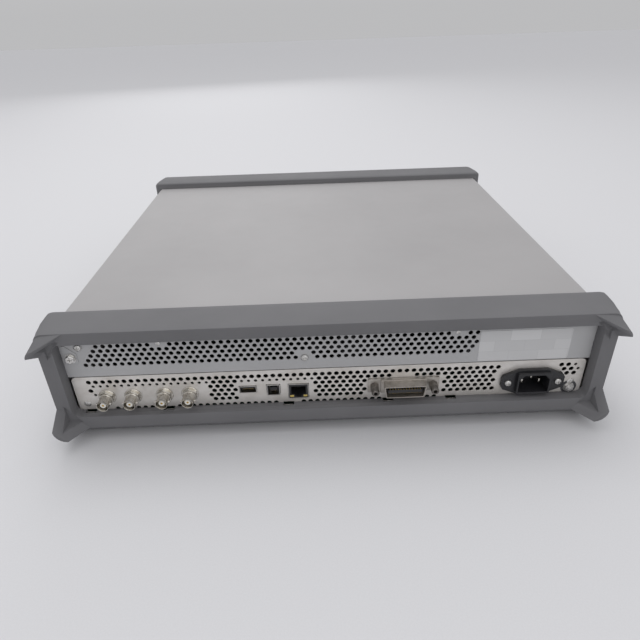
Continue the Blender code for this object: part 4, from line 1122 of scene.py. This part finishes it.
for key in ("output_key_1", "output_key_2"):
    lens = corners(on_face(key, CAP_FACE), (-3.0, 3.0), (-0.05, 1.0), (-0.7, 0.7))
    join(key_cap(key, pale_rubber) + [painted_box(lens, amber_lens, 0.2)])
    settle(f"output_cap_{key[-1]}", node=key, body=key)

at = on_face("power_button", CAP_FACE)
shapes = key_cap("power_button", pale_rubber)
deselect()
bpy.ops.mesh.primitive_torus_add(
    major_radius=2.1 * MM, minor_radius=0.24 * MM, major_segments=40, minor_segments=10,
    location=(at[0], CAP_FACE + 0.2 * MM, at[2] - 0.2 * MM), rotation=(math.pi / 2, 0.0, 0.0),
)
bpy.context.object.data.materials.append(dark_print)
shade(60)
shapes.append(bpy.context.object)
shapes.append(painted_box(corners(at, (-0.25, 0.25), (-0.05, 0.3), (0.4, 3.0)), dark_print))
join(shapes)
settle("power_cap", node="power_button", body="power_button")


# Control knob: a dark moulded knob with a fluted grip and a dimple for a fingertip.
# It is pushed on the encoder's shaft and turns without end.

KNOB_PROFILE = [
    (15.7, 0.6), (15.9, 1.0), (15.9, 2.2), (15.2, 2.6), (14.7, 12.6), (14.3, 13.7), (13.4, 14.4),
    (12.6, 14.6), (11.6, 14.2), (0.3, 14.0),
]
DIMPLE_RADIUS = 6.0 * MM
DIMPLE_OUT = 18.4 * MM  # of its centre from the front face
DIMPLE_UP = 7.4 * MM

knob_plastic = new_finish("knob_plastic", (0.11, 0.11, 0.118), 0.42)
vary_colour(knob_plastic, (40.0, 3.0), (0.1, 0.1, 0.107), (0.125, 0.125, 0.133))
vary_roughness(knob_plastic, (300.0, 3.0), 0.36, 0.5)

at = on_face("tuning_knob", FRONT_FACE)
knob = turned(KNOB_PROFILE, at, -1, 54, knob_plastic)
choose(faces=lambda face: abs(face.normal.y) < 0.3 and face.calc_area() > 8e-6)
bpy.ops.mesh.inset(thickness=0.25 * MM, depth=-0.3 * MM, use_individual=True)
deselect()
bpy.ops.mesh.primitive_uv_sphere_add(
    segments=32, ring_count=16, radius=DIMPLE_RADIUS, location=(at[0], at[1] - DIMPLE_OUT, at[2] + DIMPLE_UP)
)
cut_away(knob, bpy.context.object)
settle("fluted_knob", node="tuning_knob", body="tuning_knob", smooth=30)


# Front sockets: four BNC jacks like those at the rear, and a USB port.
# A printed ring marks each jack.

JACK_RING = [(9.6, 0.02), (9.6, 0.16), (8.6, 0.16), (8.6, 0.04)]
for number in range(1, 5):
    bnc_jack(f"front_jack_{number}", f"bnc_front_{number}", FRONT_FACE, -1)
    turned(JACK_RING, on_face(f"bnc_front_{number}", FRONT_FACE), -1, 48, grey_film)
    settle(f"jack_ring_{number}")
usb_a("front_usb_port", "usb_a_front", FRONT_FACE, -1)


# Inside: the pan, the boards with their shielding, the supply, the fan and the encoder.
# They are glimpsed through the perforated panels, so each keeps its plain solid and gets its finish.

# Partly painted shade: the boards' solder mask is a real dark green, painted darker still to stand for the
# shade inside the case where it is glimpsed.
shade_darkened_solder_mask = new_finish("shade_darkened_solder_mask", (0.006, 0.024, 0.014), 0.5, specular=0.3)
vary_colour(shade_darkened_solder_mask, (400.0, 4.0), (0.004, 0.017, 0.01), (0.009, 0.032, 0.018))
dark_steel = new_finish("dark_steel", (0.09, 0.09, 0.093), 0.45, 0.8)
vary_colour(dark_steel, (120.0, 4.0), (0.07, 0.07, 0.073), (0.12, 0.12, 0.124))
vary_roughness(dark_steel, (300.0, 4.0), 0.38, 0.55)
for paint, node_names in (
    (zinc, ("chassis_tray",)),
    (shade_darkened_solder_mask, ("main_board", "front_board")),
    (dark_steel, ("power_supply", "shield_can", "heat_sink", "knob_encoder")),
    (black_moulding, ("fan_frame", "fan_rotor")),
):
    for node_name in node_names:
        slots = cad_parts[node_name].data.materials
        slots.clear()
        slots.append(paint)
